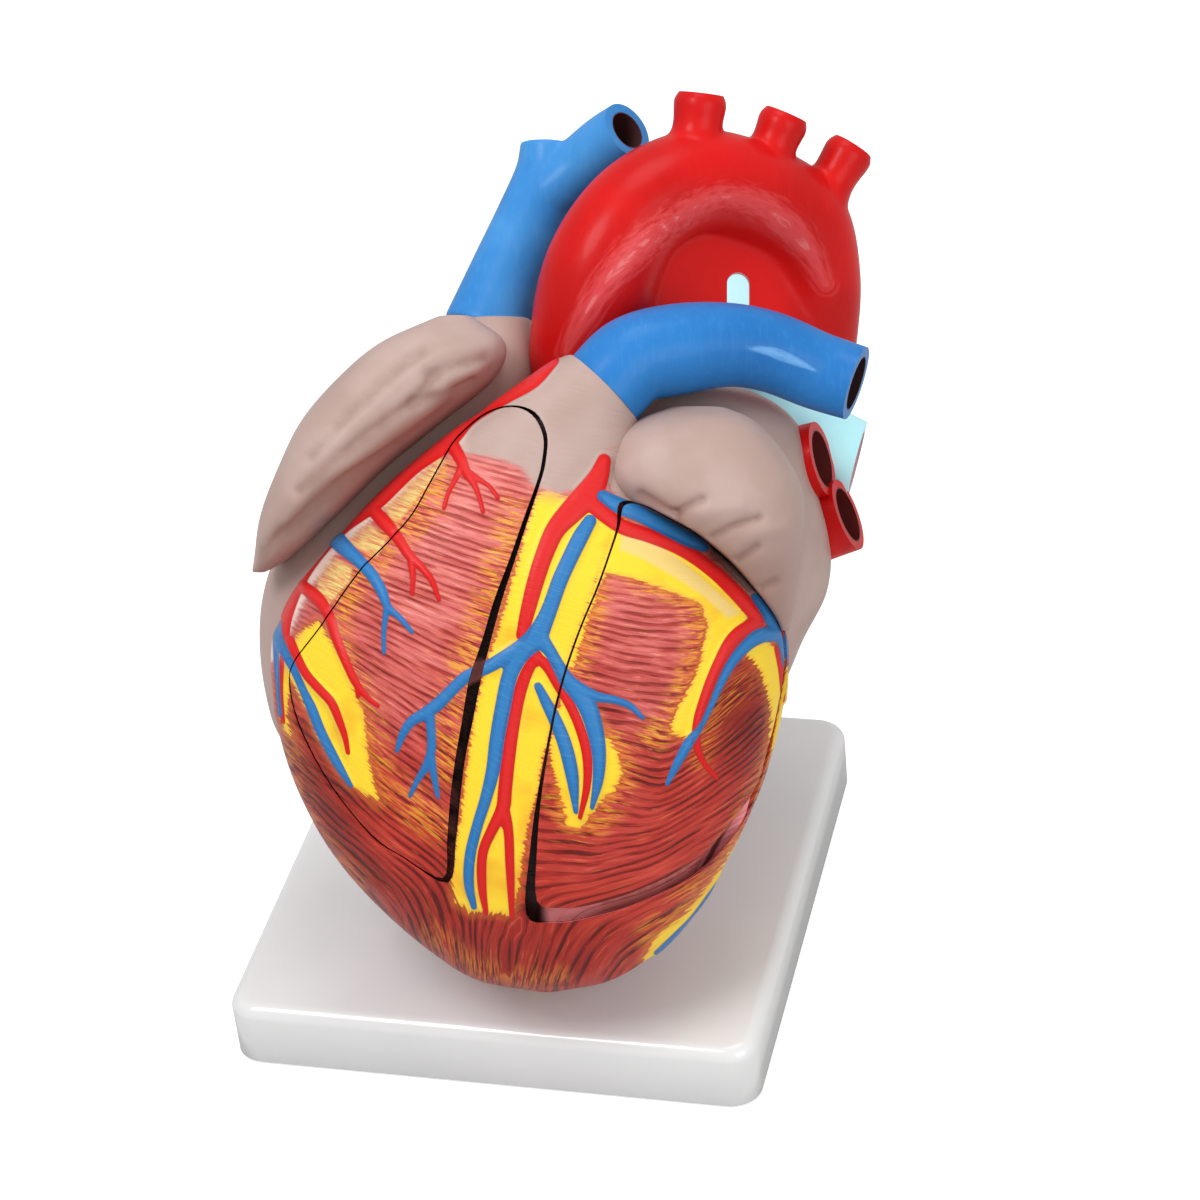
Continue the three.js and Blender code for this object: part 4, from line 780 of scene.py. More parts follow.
def window(outline, grow=0.0, back=None):
    """Straight prism through an outline given in pixels, grown by some millimetres.

    back is the height and the slope of the plane that it ends at, so no lift-off wall hooks behind its ledge.
    """
    points = on_front(closed_curve(outline, 4))
    along = np.roll(points, -1, axis=0) - np.roll(points, 1, axis=0)
    out = np.stack([along[:, 1], -along[:, 0]], axis=1) / np.linalg.norm(along, axis=1)[:, None]
    area = (points[:, 0] * np.roll(points[:, 1], -1) - np.roll(points[:, 0], -1) * points[:, 1]).sum()
    body = prism(points + out * grow * np.sign(area), *WINDOW_REACH)
    if back:
        height, slope = back
        corners = [(x, y, height + slope * y + drop) for drop in (0, -300) for x, y in BEHIND_CORNERS]
        faces = [(0, 1, 2, 3), (7, 6, 5, 4), (0, 4, 5, 1), (1, 5, 6, 2), (2, 6, 7, 3), (3, 7, 4, 0)]
        combine(body, mesh_object("behind", corners, faces))
    return body


# Line of the pulmonary trunk: x, y, z and radius
PULMONARY_TRUNK = [
    (20, 77, 43, 20.5), (33, 90, 41, 20.5), (52, 95.5, 34, 21), (78, 98.5, 25, 19.3), (97, 95.8, 18, 18.6),
    (119, 87.5, 12, 18), (128, 84.5, 12.5, 17.8), (137, 81.5, 14.5, 17.5),
]


def above_trunk(shift):
    """A block over the slanted cut where the pulmonary trunk starts, big enough to clear the top."""
    line = smooth_line(PULMONARY_TRUNK, 2)[:, :3]
    way = line[1] - line[0]
    way /= np.linalg.norm(way)
    start = line[0] + way * shift
    return rod(start, start + way * 90, radius=70, sides=64)


# Each valve's bore: start, end and radius
VALVES = {
    "tricuspid": ((-84, 14, -44), (-62, -34, -14), 22),
    "mitral": ((66, 6, -52), (46, -42, -18), 20),
    "aortic": ((20, 6, -44), (15, 44, -48), 15),
    "pulmonary": ((12, 64, 40), (24, 82, 43), 14.5),
}
# Bores for the post and its socket, over the stand: bottom, top and radius
POST_BORE = (30, 117, 12)
SOCKET_BORE = (115.6, 170.4, 12.8)


def ventricle_pieces():
    """The shell and its two lift-off walls, cut from one painted surface."""
    surface = ventricle_surface()
    combine(surface, above_trunk(-0.1))
    seat = ventricle_inside(WALL_THICKNESS + SEAT_GAP)
    wall_seat = ventricle_inside(WALL_THICKNESS)
    walls = []
    for outline, back in ((RIGHT_WALL, RIGHT_BACK), (LEFT_WALL, LEFT_BACK)):
        wall = combine(duplicate(surface), window(outline, back=back), "INTERSECT")
        walls.append(combine(wall, wall_seat, keep=True))
    for outline, (height, slope) in ((RIGHT_OPENING, RIGHT_BACK), (LEFT_OPENING, LEFT_BACK)):
        combine(surface, combine(window(outline, back=(height - SEAT_GAP, slope)), seat, keep=True))
        combine(surface, window(outline, -LEDGE))
    remove(seat, wall_seat)
    combine(surface, combine(ventricle_inside(SHELL_WALL), above_trunk(-8)))
    for bottom, top, radius in (POST_BORE, SOCKET_BORE):
        ends = from_world(np.array([(0, 0, bottom), (0, 0, top)], float))
        combine(surface, rod(ends[0], ends[1], radius))
    for start, end, radius in VALVES.values():
        combine(surface, rod(start, end, radius))
    return surface, *walls


def finish_piece(obj, name, body, nodes, material):
    """Names a piece, smooths its shading, moves it over the stand in metres and ties it to the frame."""
    obj.name = name
    obj.data.name = name
    set_coordinates(obj, to_world(coordinates(obj)) * MM)
    return dress(obj, body, nodes, material)


def dress(obj, body, nodes, material, sharp=40):
    """Gives a piece its material and shading, the body that it rides on and the nodes that it replaces."""
    obj.data.materials.clear()
    obj.data.materials.append(material)
    obj.data.shade_smooth()
    obj.data.set_sharp_from_angle(angle=math.radians(sharp))
    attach(obj, body)
    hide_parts(*nodes)
    return obj


def add_vector(obj, name, columns):
    layer = obj.data.attributes.new(name, "FLOAT_VECTOR", "POINT")
    values = np.stack([np.broadcast_to(c, len(obj.data.vertices)) for c in columns], axis=1)
    layer.data.foreach_set("vector", values.astype(np.float32).ravel())


def store_place(obj):
    """Keeps where a piece's points lie in the heart's frame, so that paint stays put on moving pieces."""
    points = coordinates(obj)
    add_vector(obj, "place", points.T)
    return points


def paint_ventricles(obj):
    """Lays the painted fields on a cut piece, and its depth under the painted surface."""
    points = coordinates(obj)
    paint = paint_at(points)
    mid_x, half_x, mid_z, half_z = ventricle_sections(points[:, 1])
    dx, dz = points[:, 0] - mid_x, points[:, 2] - mid_z
    power = VENTRICLE_POWER
    share = (np.abs(dx / half_x) ** power + np.abs(dz / half_z) ** power) ** (1 / power)
    radius = np.hypot(dx, dz) / np.maximum(share, 1e-6)
    depth = (1 - share) * radius + relief(paint)
    add_vector(obj, "vessels", (paint["artery"], paint["vein"], depth))
    add_vector(obj, "ground", (paint["fat"], paint["beige"], paint["warm"]))
    add_vector(obj, "strokes", (paint["along"], paint["across"], points[:, 2]))
    add_vector(obj, "shades", (paint["tone"], paint["pale"], 0))
    store_place(obj)


# Materials


def colour(red, green, blue):
    """A colour as an eye reads it, 0 to 255, in the renderer's linear numbers."""
    linear = [c / 255 / 12.92 if c <= 10 else ((c / 255 + 0.055) / 1.055) ** 2.4 for c in (red, green, blue)]
    return (*linear, 1.0)


class Paint:
    """A principled material with short ways to add its nodes."""

    def __init__(self, name, roughness=0.35, coat=0.0, specular=0.5, metallic=0.0):
        self.material = bpy.data.materials.new(name)
        self.material.use_nodes = True
        self.tree = self.material.node_tree
        self.shader = self.tree.nodes["Principled BSDF"]
        for key, value in (("Roughness", roughness), ("Coat Weight", coat), ("Coat Roughness", 0.12),
                           ("Specular IOR Level", specular), ("Metallic", metallic)):
            self.shader.inputs[key].default_value = value

    def put(self, socket, value):
        """Links or sets a socket. None leaves it as it is."""
        if isinstance(value, bpy.types.NodeSocket):
            self.tree.links.new(value, socket)
        elif value is not None:
            socket.default_value = value

    def node(self, kind, **inputs):
        """Adds a node. The inputs' names have _ for each space."""
        made = self.tree.nodes.new(kind)
        for key, value in inputs.items():
            self.put(made.inputs[key.replace("_", " ")], value)
        return made

    def attribute(self, name):
        made = self.node("ShaderNodeAttribute")
        made.attribute_name = name
        return made.outputs["Vector"]

    def parts(self, attribute):
        """The three numbers of a vector attribute."""
        split = self.node("ShaderNodeSeparateXYZ", Vector=self.attribute(attribute))
        return split.outputs["X"], split.outputs["Y"], split.outputs["Z"]

    def mapped(self, vector, **inputs):
        """A vector, moved by its Location or stretched by its Scale."""
        return self.node("ShaderNodeMapping", Vector=vector, **inputs).outputs["Vector"]

    def vector(self, attribute, scale):
        return self.mapped(self.attribute(attribute), Scale=scale)

    def noise(self, vector, scale=1.0, detail=3.0, rough=0.5, warp=0.0):
        made = self.node("ShaderNodeTexNoise", Vector=vector, Scale=scale, Detail=detail, Roughness=rough,
                         Distortion=warp)
        return made.outputs["Fac"]

    def maths(self, operation, *values):
        made = self.tree.nodes.new("ShaderNodeMath")
        made.operation = operation
        for socket, value in zip(made.inputs, values):
            self.put(socket, value)
        return made.outputs["Value"]

    def plus(self, first, second):
        return self.maths("ADD", first, second)

    def minus(self, first, second):
        return self.maths("SUBTRACT", first, second)

    def times(self, first, second):
        return self.maths("MULTIPLY", first, second)

    def least(self, first, second):
        return self.maths("MINIMUM", first, second)

    def ease(self, value, low, high, to_low=0.0, to_high=1.0):
        """A number eased from one range into another, and held at its ends."""
        made = self.node("ShaderNodeMapRange", Value=value, From_Min=low, From_Max=high, To_Min=to_low,
                         To_Max=to_high)
        made.interpolation_type = "SMOOTHSTEP"
        return made.outputs["Result"]

    def ramp(self, value, stops):
        made = self.node("ShaderNodeValToRGB", Fac=value)
        elements = made.color_ramp.elements
        while len(elements) < len(stops):
            elements.new(0.5)
        for element, (place, shade) in zip(elements, stops):
            element.position = place
            element.color = shade
        return made.outputs["Color"]

    def mix(self, share, first, second, way="MIX"):
        made = self.tree.nodes.new("ShaderNodeMix")
        made.data_type = "RGBA"
        made.blend_type = way
        for socket, value in zip((made.inputs[0], made.inputs[6], made.inputs[7]), (share, first, second)):
            self.put(socket, value)
        return made.outputs[2]

    def bump(self, height, distance, strength=1.0, under=None):
        made = self.node("ShaderNodeBump", Height=height, Normal=under, Distance=distance, Strength=strength)
        return made.outputs["Normal"]

    def done(self, base, normal=None, roughness=None):
        self.put(self.shader.inputs["Base Color"], base)
        self.put(self.shader.inputs["Normal"], normal)
        self.put(self.shader.inputs["Roughness"], roughness)
        return self.material


# The gap in the aortic arch: middle X, top, bottom and width
ARCH_GAP = (84.3, 136.8, 112, 11)
# The arch's dish: X and Y of its middle, and radii between which its painted light, a brighter red, fades out
ARCH_DISH = (76, 124)
DISH_FADE = (42.0, 22.0)
# The windpipe's glow, painted light: Z behind the arch's gap, and the distances between which it fades out
GLOW_DEPTH = -60
GLOW_FADE = (34.0, 16.0)
# Distance between the brush lines of the painted muscle
HATCH = 2.9

RED, SHEEN_RED = colour(210, 20, 20), colour(226, 78, 80)
BLUE, LIGHT_BLUE = colour(44, 122, 194), colour(84, 154, 218)
BEIGE_PAINT, BEIGE_SHADE, BEIGE_FOLD_SHADE = colour(185, 160, 152), colour(176, 150, 141), colour(122, 90, 78)
YELLOW, DEEP_YELLOW, ORANGE = colour(250, 212, 50), colour(242, 186, 44), colour(222, 116, 48)
PINK, LIGHT_PINK, MUSCLE, DARK_MUSCLE = (
    colour(212, 106, 100), colour(230, 146, 138), colour(172, 58, 52), colour(104, 30, 27))


def ventricle_paint():
    """The painted muscle with its vessels, fat and beige, and the cut faces and chambers under it."""
    p = Paint("painted_muscle", roughness=0.42, coat=0.04, specular=0.22)
    artery, vein, depth = p.parts("vessels")
    fat, beige, warm = p.parts("ground")
    tone, pale, _ = p.parts("shades")
    _, across, _ = p.parts("strokes")
    wide = p.noise(p.vector("strokes", (0.035, 0.20, 0.03)), detail=2.0, rough=0.5, warp=0.3)
    fine = p.noise(p.vector("strokes", (0.10, 1.3, 0.08)), detail=2.5, rough=0.6)
    fleck_place = p.mapped(p.vector("strokes", (0.10, 1.1, 0.08)), Location=(7.3, 2.1, 5.0))
    flecks = p.noise(fleck_place, detail=2.5, rough=0.6)
    wave_place = p.mapped(p.vector("strokes", (0.028, 0.10, 0.03)), Location=(3.1, 8.2, 1.0))
    waves = p.noise(wave_place, detail=2.0, rough=0.5)
    blotches = p.noise(p.vector("place", (0.04, 0.04, 0.04)), detail=2.0)

    # Dark brush lines HATCH apart that wander and break off
    turns = p.plus(p.times(across, 2 * math.pi / HATCH), p.times(waves, 11.0))
    line = p.ease(p.maths("SINE", turns), 0.05, 0.85)
    line = p.times(line, p.ease(p.plus(wide, p.times(flecks, 0.5)), 0.98, 0.66))
    # Lighter streaks between the lines are painted highlights
    painted_highlight = p.ease(p.maths("SINE", turns), -0.55, -0.98)
    painted_highlight = p.times(painted_highlight, p.ease(flecks, 0.46, 0.66))
    shade = p.plus(p.times(wide, 0.42), p.times(fine, 0.34))
    shade = p.plus(shade, p.times(p.minus(tone, 0.3), 0.34))
    shade = p.plus(shade, p.times(p.minus(blotches, 0.5), 0.14))
    shade = p.plus(shade, p.times(painted_highlight, 0.18))
    shade = p.minus(shade, p.times(line, 0.23))
    muscle = p.ramp(shade, [
        (0.12, DARK_MUSCLE), (0.30, MUSCLE), (0.44, colour(192, 84, 77)), (0.56, PINK), (0.78, LIGHT_PINK)])
    muscle = p.mix(1.0, muscle, p.ramp(tone, [
        (0.12, (0.56, 0.18, 0.11, 1)), (0.35, (0.96, 0.45, 0.33, 1)), (0.55, (0.92, 0.62, 0.60, 1)),
        (0.78, (1.0, 1.0, 1.0, 1))]), "MULTIPLY")
    heat = p.times(p.ease(warm, 7.0, -3.0), p.ease(flecks, 0.44, 0.56))
    spark = p.maths("MAXIMUM", heat, p.times(p.ease(flecks, 0.60, 0.70), 0.3))
    gold = p.mix(p.ease(tone, 0.6, 0.2, 0.0, 0.55), p.ramp(fine, [(0.38, ORANGE), (0.60, DEEP_YELLOW)]),
                 colour(190, 70, 30))
    muscle = p.mix(p.times(spark, 0.72), muscle, gold)

    feather = p.times(p.minus(flecks, 0.5), 7.0)
    edge = p.plus(fat, feather)
    fat_share = p.ease(edge, 0.35, -0.35)
    glow = p.ease(edge, 4.5, 0.4)
    muscle = p.mix(p.times(glow, 0.45), muscle, ORANGE)
    yellow = p.ramp(blotches, [(0.3, DEEP_YELLOW), (0.46, YELLOW)])
    yellow = p.mix(p.ease(edge, -2.2, -0.4, 0.0, 0.4), yellow, colour(238, 168, 52))
    ground = p.mix(fat_share, muscle, yellow)
    # Pale cream on the fat, and along the top of the left wall a painted highlight
    pale_share = p.ease(pale, 1.2, -1.0)
    side, height, _ = p.parts("place")
    flecked = p.times(p.ease(flecks, 0.46, 0.62), p.ease(side, 30.0, 10.0))
    pale_paint = p.mix(flecked, colour(238, 206, 124), colour(222, 138, 92))
    ground = p.mix(pale_share, ground, pale_paint)

    wash = p.plus(beige, p.times(p.minus(fine, 0.5), 6.0))
    beige_paint = p.ramp(blotches, [(0.25, BEIGE_SHADE), (0.6, BEIGE_PAINT)])
    # Beige far to the viewer's left, under the right auricle, is painted lighter: painted light that lifts
    # the auricle's shadow
    beige_paint = p.mix(p.ease(side, -38.0, -52.0), beige_paint, colour(238, 212, 202))
    ground = p.mix(p.ease(wash, 9.0, 0.0, 0.0, 0.5), ground, colour(208, 122, 118))
    ground = p.mix(p.ease(wash, 2.5, -1.5), ground, beige_paint)

    outline = p.least(p.maths("ABSOLUTE", artery), p.maths("ABSOLUTE", vein))
    # Arteries and veins are painted lighter along their middles: a painted highlight on the raised vessels
    red = p.mix(p.ease(artery, -1.0, -2.6, 0.0, 0.3), RED, colour(228, 60, 60))
    blue = p.mix(p.ease(vein, -1.0, -2.6, 0.0, 0.3), colour(38, 110, 174), colour(64, 144, 204))
    blue = p.mix(p.ease(fine, 0.5, 0.7, 0.0, 0.25), blue, colour(96, 150, 186))
    painted = p.mix(p.ease(artery, 0.15, -0.15), ground, red)
    painted = p.mix(p.ease(vein, 0.15, -0.15), painted, blue)
    painted = p.mix(p.ease(outline, 0.7, 0.1, 0.0, 0.45), painted, p.mix(0.5, painted, colour(70, 20, 30)))

    # Cut faces are darkened from the rim to the ledge by painted shade, as shadow fills the seams' narrow
    # gaps;
    # low on the viewer's right they are pink with a band of painted shade, and the chambers are pink inside
    inner = p.ramp(blotches, [(0.3, colour(170, 82, 78)), (0.6, colour(206, 124, 118))])
    inner = p.mix(p.ease(depth, 10.5, 13.0), inner, p.ramp(wide, [(0.3, colour(140, 48, 44)), (0.65, PINK)]))
    steps = p.times(depth, 0.1)
    cut_shade = p.ramp(steps, [
        (0.10, colour(130, 70, 62)), (0.26, colour(44, 18, 16)), (0.82, colour(18, 8, 7)),
        (0.92, colour(46, 20, 18))])
    pink_cut = p.ramp(steps, [
        (0.15, colour(244, 164, 168)), (0.50, colour(232, 144, 148)), (0.66, colour(86, 36, 34)),
        (0.80, colour(110, 54, 52)), (0.92, colour(238, 152, 154))])
    cut = p.mix(p.times(p.ease(height, -72.0, -96.0), p.ease(side, -9.0, -3.0)), cut_shade, pink_cut)
    inner = p.mix(p.ease(depth, 9.6, 10.4), cut, inner)
    painted = p.mix(p.ease(depth, 0.7, 1.1), painted, inner)

    plain = p.least(p.least(artery, vein), p.least(edge, beige))
    ridges = p.minus(wide, p.times(line, 0.35))
    ridges = p.times(ridges, p.ease(plain, 0.0, 2.0, 0.1, 1.0))
    low = p.bump(ridges, 0.0014, 0.9)
    normal = p.bump(fine, 0.0003, 0.5, low)
    return p.done(painted, normal, p.ease(blotches, 0.3, 0.7, 0.36, 0.48))


def plain_paint(name, base, shade, light=None, roughness=0.36, coat=0.2, grain=0.0003, scale=60.0, lines=0.3,
                specular=0.2):
    """Gloss paint: two shades in soft patches, with the faint lines of a brush. lines is their share."""
    p = Paint(name, roughness=roughness, coat=coat, specular=specular)
    place = p.vector("place", (1.0, 1.0, 1.0))
    patches = p.noise(place, scale=1 / scale, detail=3.0)
    brush = p.noise(p.vector("place", (0.5, 0.08, 0.3)), scale=1.0, detail=3.0, rough=0.6, warp=0.4)
    mixed = p.mix(p.ease(patches, 0.35, 0.65), shade, base)
    mixed = p.mix(p.ease(brush, 0.45, 0.75, 0.0, lines), mixed, light or base)
    normal = p.bump(brush, grain, 0.5 * lines, p.bump(patches, 0.002, 0.4))
    return p, mixed, normal


def simple_paint(*args, **kwargs):
    """Gloss paint with nothing over it."""
    p, mixed, normal = plain_paint(*args, **kwargs)
    return p.done(mixed, normal)


def vessel_paint(name, base, shade, light, inside, sheen=None, dish=None, glow=0.0):
    """Gloss paint outside, and dark paint in the bore.

    The attribute bore holds the distance to the bore, the distance to the sheen, a painted highlight,
    and the distance along it. sheen is the highlight's two paler colours and how far it wanders. dish is
    a brighter red painted into the arch's hollow: painted light against the hollow's shade. glow is painted
    light that the paint gives off itself, strongest behind the gap of the arch, where the photograph shows it
    as pale as the background, and faint elsewhere.
    """
    p, mixed, normal = plain_paint(name, base, shade, light, coat=0.06, lines=0.15, specular=0.13)
    bore, gap, along = p.parts("bore")
    if dish:
        squares = [p.maths("POWER", p.minus(place, middle), 2.0)
                   for place, middle in zip(p.parts("place"), ARCH_DISH)]
        far = p.maths("SQRT", p.plus(*squares))
        mixed = p.mix(p.ease(far, *DISH_FADE), mixed, dish)
    if sheen:
        pale, palest, wander = sheen
        spot = p.node("ShaderNodeCombineXYZ", X=p.times(along, 0.05), Y=p.times(gap, 0.45))
        brush = p.noise(spot.outputs["Vector"], detail=3.0, rough=0.6, warp=0.3)
        near = p.plus(gap, p.times(p.minus(brush, 0.5), wander))
        mixed = p.mix(p.ease(near, wander / 4, -wander / 3, 0.0, 0.85), mixed, pale)
        mixed = p.mix(p.ease(near, -wander / 3, -wander / 2, 0.0, 0.45), mixed, palest)
    mixed = p.mix(p.ease(bore, 1.0, 0.1), mixed, inside)
    # The paint gives off light of its own: painted light
    if glow:
        x, top, bottom, _ = ARCH_GAP
        far = p.node("ShaderNodeVectorMath", Vector=p.vector("place", (1.0, 1.0, 1.0)))
        far.operation = "DISTANCE"
        far.inputs[1].default_value = (x, (top + bottom) / 2, GLOW_DEPTH)
        p.put(p.shader.inputs["Emission Color"], mixed)
        p.put(p.shader.inputs["Emission Strength"], p.ease(far.outputs["Value"], *GLOW_FADE, 0.12, glow))
    return p.done(mixed, normal)


def beige_paint():
    """Smooth matt paint with painted shade, browner in the folds and darker where faces look down.
    The attribute fold holds how deep a fold is, and how much a face looks down.
    """
    p, mixed, normal = plain_paint("painted_beige", BEIGE_PAINT, BEIGE_SHADE, roughness=0.5, coat=0.05,
                                   grain=0.0001, scale=40.0, lines=0.1)
    fold, edge, _ = p.parts("fold")
    brush = p.noise(p.vector("place", (0.12, 0.12, 0.12)), detail=3.0, rough=0.6)
    # Grooves and faces that look down are painted darker: painted shade
    deep = p.times(fold, p.ease(brush, 0.2, 0.7, 0.5, 1.2))
    mixed = p.mix(p.times(p.ease(deep, 0.1, 1.1), 0.4), mixed, BEIGE_FOLD_SHADE)
    mixed = p.mix(p.times(edge, 0.5), mixed, colour(150, 114, 104))
    return p.done(mixed, normal)


muscle_paint = ventricle_paint()
beige_gloss = beige_paint()
red_gloss = vessel_paint("painted_red", RED, colour(190, 17, 17), colour(220, 40, 38), colour(84, 26, 24),
                         (SHEEN_RED, colour(240, 150, 146), 16.0), colour(230, 26, 26))
blue_gloss = vessel_paint("painted_blue", BLUE, colour(36, 110, 182), LIGHT_BLUE, colour(50, 32, 34),
                          (colour(112, 172, 228), colour(150, 200, 240), 5.0))
light_blue_gloss = vessel_paint("painted_light_blue", colour(72, 148, 214), colour(52, 130, 202),
                                colour(98, 170, 230), colour(72, 42, 44))
cyan_gloss = vessel_paint("painted_cyan", colour(186, 244, 250), colour(166, 226, 234), colour(214, 252, 254),
                          colour(190, 150, 156), glow=1.0)
white_gloss = simple_paint("white_gloss", colour(232, 232, 232), colour(229, 229, 229), roughness=0.2,
                           coat=0.4, grain=0.00004, specular=0.5)
ivory_paint = simple_paint("ivory", colour(232, 214, 190), colour(214, 190, 162), roughness=0.45, coat=0.1)

# Radius of the arch's sheen round its middle
ARCH_RADIUS = 90


def store_bore(obj, bores, sheen=(), along_x=False):
    """Distance from each point to the nearest bore, given as lines with radii. Less than 0 is inside.

    sheen is a line of the photograph's pixels along which a painted highlight is laid, measured round its
    middle or along x.
    """
    points = store_place(obj)
    found = np.full(len(points), FAR)
    for bore in bores:
        line = smooth_line(bore, 3.0)
        for a, b in zip(line[:-1], line[1:]):
            way = b[:3] - a[:3]
            t = np.clip((points - a[:3]) @ way / max(way @ way, 1e-9), 0, 1)
            gap = np.linalg.norm(points - a[:3] - t[:, None] * way, axis=1) - (a[3] + t * (b[3] - a[3]))
            found = np.minimum(found, gap)
    gap, along = np.full(len(points), FAR), np.zeros(len(points))
    if sheen:
        pixels = to_pixels(points)
        gap = line_distance([sheen], pixels[:, 0], pixels[:, 1], 6.0) * MM_PER_PIXEL
        # The sheen ends where the surface turns away from the viewer
        gap += 12 * eased(0.35, -0.1, normals(obj)[:, 2])
        middle = np.mean(np.array(sheen, float)[:, :2], axis=0)
        turn = np.arctan2(pixels[:, 1] - middle[1], pixels[:, 0] - middle[0])
        along = pixels[:, 0] * MM_PER_PIXEL if along_x else turn * ARCH_RADIUS
    add_vector(obj, "bore", (found, gap, along))


# Ventricles

shell, right_wall, left_wall = ventricle_pieces()
for piece, name, body, node in (
    (shell, "painted_ventricles", "heart", "ventricle_shell"),
    (right_wall, "painted_right_wall", "right_wall", "right_ventricle_wall"),
    (left_wall, "painted_left_wall", "left_wall", "left_ventricle_wall"),
):
    paint_ventricles(piece)
    finish_piece(piece, name, body, [node], muscle_paint)


# Great vessels

VESSEL_WALL = 5.0
# Lines of the vessels: x, y, z and radius
AORTA = [
    (16, 26, -58, 26), (15, 50, -44, 28), (14, 76, -27, 28), (14, 106, -8, 28), (20, 136, 2, 27),
    (37, 163, 1, 25), (64, 178, -12, 24), (93, 174.5, -32, 23.5), (114, 163, -52, 24), (123, 138, -68, 22),
    (124, 112, -80, 20.5), (122, 88, -90, 19), (112, 48, -100, 18),
]
ARCH_WEB = [(20, 108), (20, 150), (48, 166), (76, 170), (104, 160), (122, 134), (122, 108)]
# Height of the web's back at X = 0, its rise along X, and its thickness
ARCH_WEB_BACK, ARCH_WEB_SLANT, ARCH_WEB_THICKNESS = 17.5, -0.68, 9
# The arch's stumps: start, end and radius, the wall round their bores, and how much wider they start
AORTIC_BRANCHES = [
    ((62, 184, -9), (66, 218, -6), 12),
    ((94, 181, -30), (107, 211.5, -28), 11.5),
    ((119, 166, -50), (140, 199, -50), 11.5),
]
STUMP_WALL = 3.5
STUMP_FLARE = 8
# From where to where along Z the arch's gap is cut, and room round the two blue vessels that pass the arch
GAP_REACH = (-140, 60)
ARTERY_ROOM, TRUNK_ROOM = 0.8, 0.4
# Depth of the block that cuts a tube's end off flat, and how much wider than the tube it is
CUT_DEPTH, CUT_MARGIN = 20, 4.0
SUPERIOR_VENA_CAVA = [(-36, 109, -34, 20.5), (-26, 136, -38, 18), (-14, 164, -44, 17), (-7, 186, -48, 15),
                      (-6, 200, -49, 13.5)]
RIGHT_BRANCH = [(-14, 168, -44, 14), (8, 187, -42, 14.5), (22, 198, -34, 14.5), (31.5, 203.5, -25, 14)]
INFERIOR_VENA_CAVA = [(-92, -58, -72, 17), (-88, -84, -86, 17), (-84, -106, -96, 17)]
RIGHT_PULMONARY_ARTERY = [(66, 100, 22, 15), (48, 101, -28, 15), (22, 103, -66, 14), (-8, 105, -80, 13),
                          (-44, 104, -84, 13)]
WINDPIPE = [(74, 166, -92, 14), (84, 134, -76, 14), (90, 104, -80, 14)]
LEFT_BRONCHUS = [(88, 112, -80, 12), (100, 84, -72, 15), (118, 62, -60, 19), (142, 47, -58, 20.5)]
# The photograph shows the left bronchus cut nearly upright: the way that the cut faces, its depth and radius
BRONCHUS_CUT, BRONCHUS_CUT_DEPTH, BRONCHUS_CUT_RADIUS = (0.96, -0.25, 0.1), 30, 40
RIGHT_BRONCHUS = [(92, 112, -84, 11), (60, 84, -104, 11), (20, 62, -116, 11)]
# Start, end and radius of each
VEINS_OF_LUNGS = {
    "left_pulmonary_vein_upper": ((88, 40, -36), (123.6, 48.1, -23), 18),
    "left_pulmonary_vein_lower": ((98, 8, -48), (136.5, 22, -33), 17.6),
    "right_pulmonary_vein_upper": ((20, 40, -78), (-40, 46, -114), 13),
    "right_pulmonary_vein_lower": ((20, 8, -80), (-38, 10, -118), 13),
}


def offset(line, grow):
    return [(x, y, z, r + grow) for x, y, z, r in line]


def cut_ends(solid, line, past):
    """Cuts off flat what a tube's melted ends run past its line. An end that runs on by 0 isn't cut."""
    path = smooth_line(line, 2.0)
    for length, tip, before in ((past[0], 0, 1), (past[1], -1, -2)):
        if length:
            way = path[tip, :3] - path[before, :3]
            way /= np.linalg.norm(way)
            combine(solid, rod(path[tip, :3], path[tip, :3] + way * CUT_DEPTH, path[tip, 3] + CUT_MARGIN))
    return solid


def joined_pipes(lines, past, bores_past, smooth):
    """Tubes joined into one solid, and its bores. past is how far they run on before they are cut flat."""
    solid = union(*[tube(line, length) for line, length in zip(lines, past)])
    melt(solid, 1.2, smooth)
    for line, length in zip(lines, past):
        cut_ends(solid, line, length)
    bores = [offset(line, -VESSEL_WALL) for line in lines]
    for bore, length in zip(bores, bores_past):
        combine(solid, tube(bore, length))
    return solid, bores


# How a stump's shoulder narrows towards its end: the distance from the end, and the growth of the radius
STUMP_SHOULDER = [(4.0, 0.6), (1.6, 0.0), (0.0, -1.8)]

# Painted highlights, a sheen along the arch and the trunk, in pixels of the photograph
AORTA_SHEEN = [(566, 352, 6), (583, 318, 11), (602, 287, 13), (623, 263, 15), (655, 234, 14), (690, 210, 12),
               (723, 197, 11), (760, 205, 13), (790, 228, 14), (812, 256, 11), (826, 284, 6)]
TRUNK_SHEEN = [(748, 348, 1), (768, 351, 4), (788, 358, 5), (806, 366, 3), (816, 371, 1)]


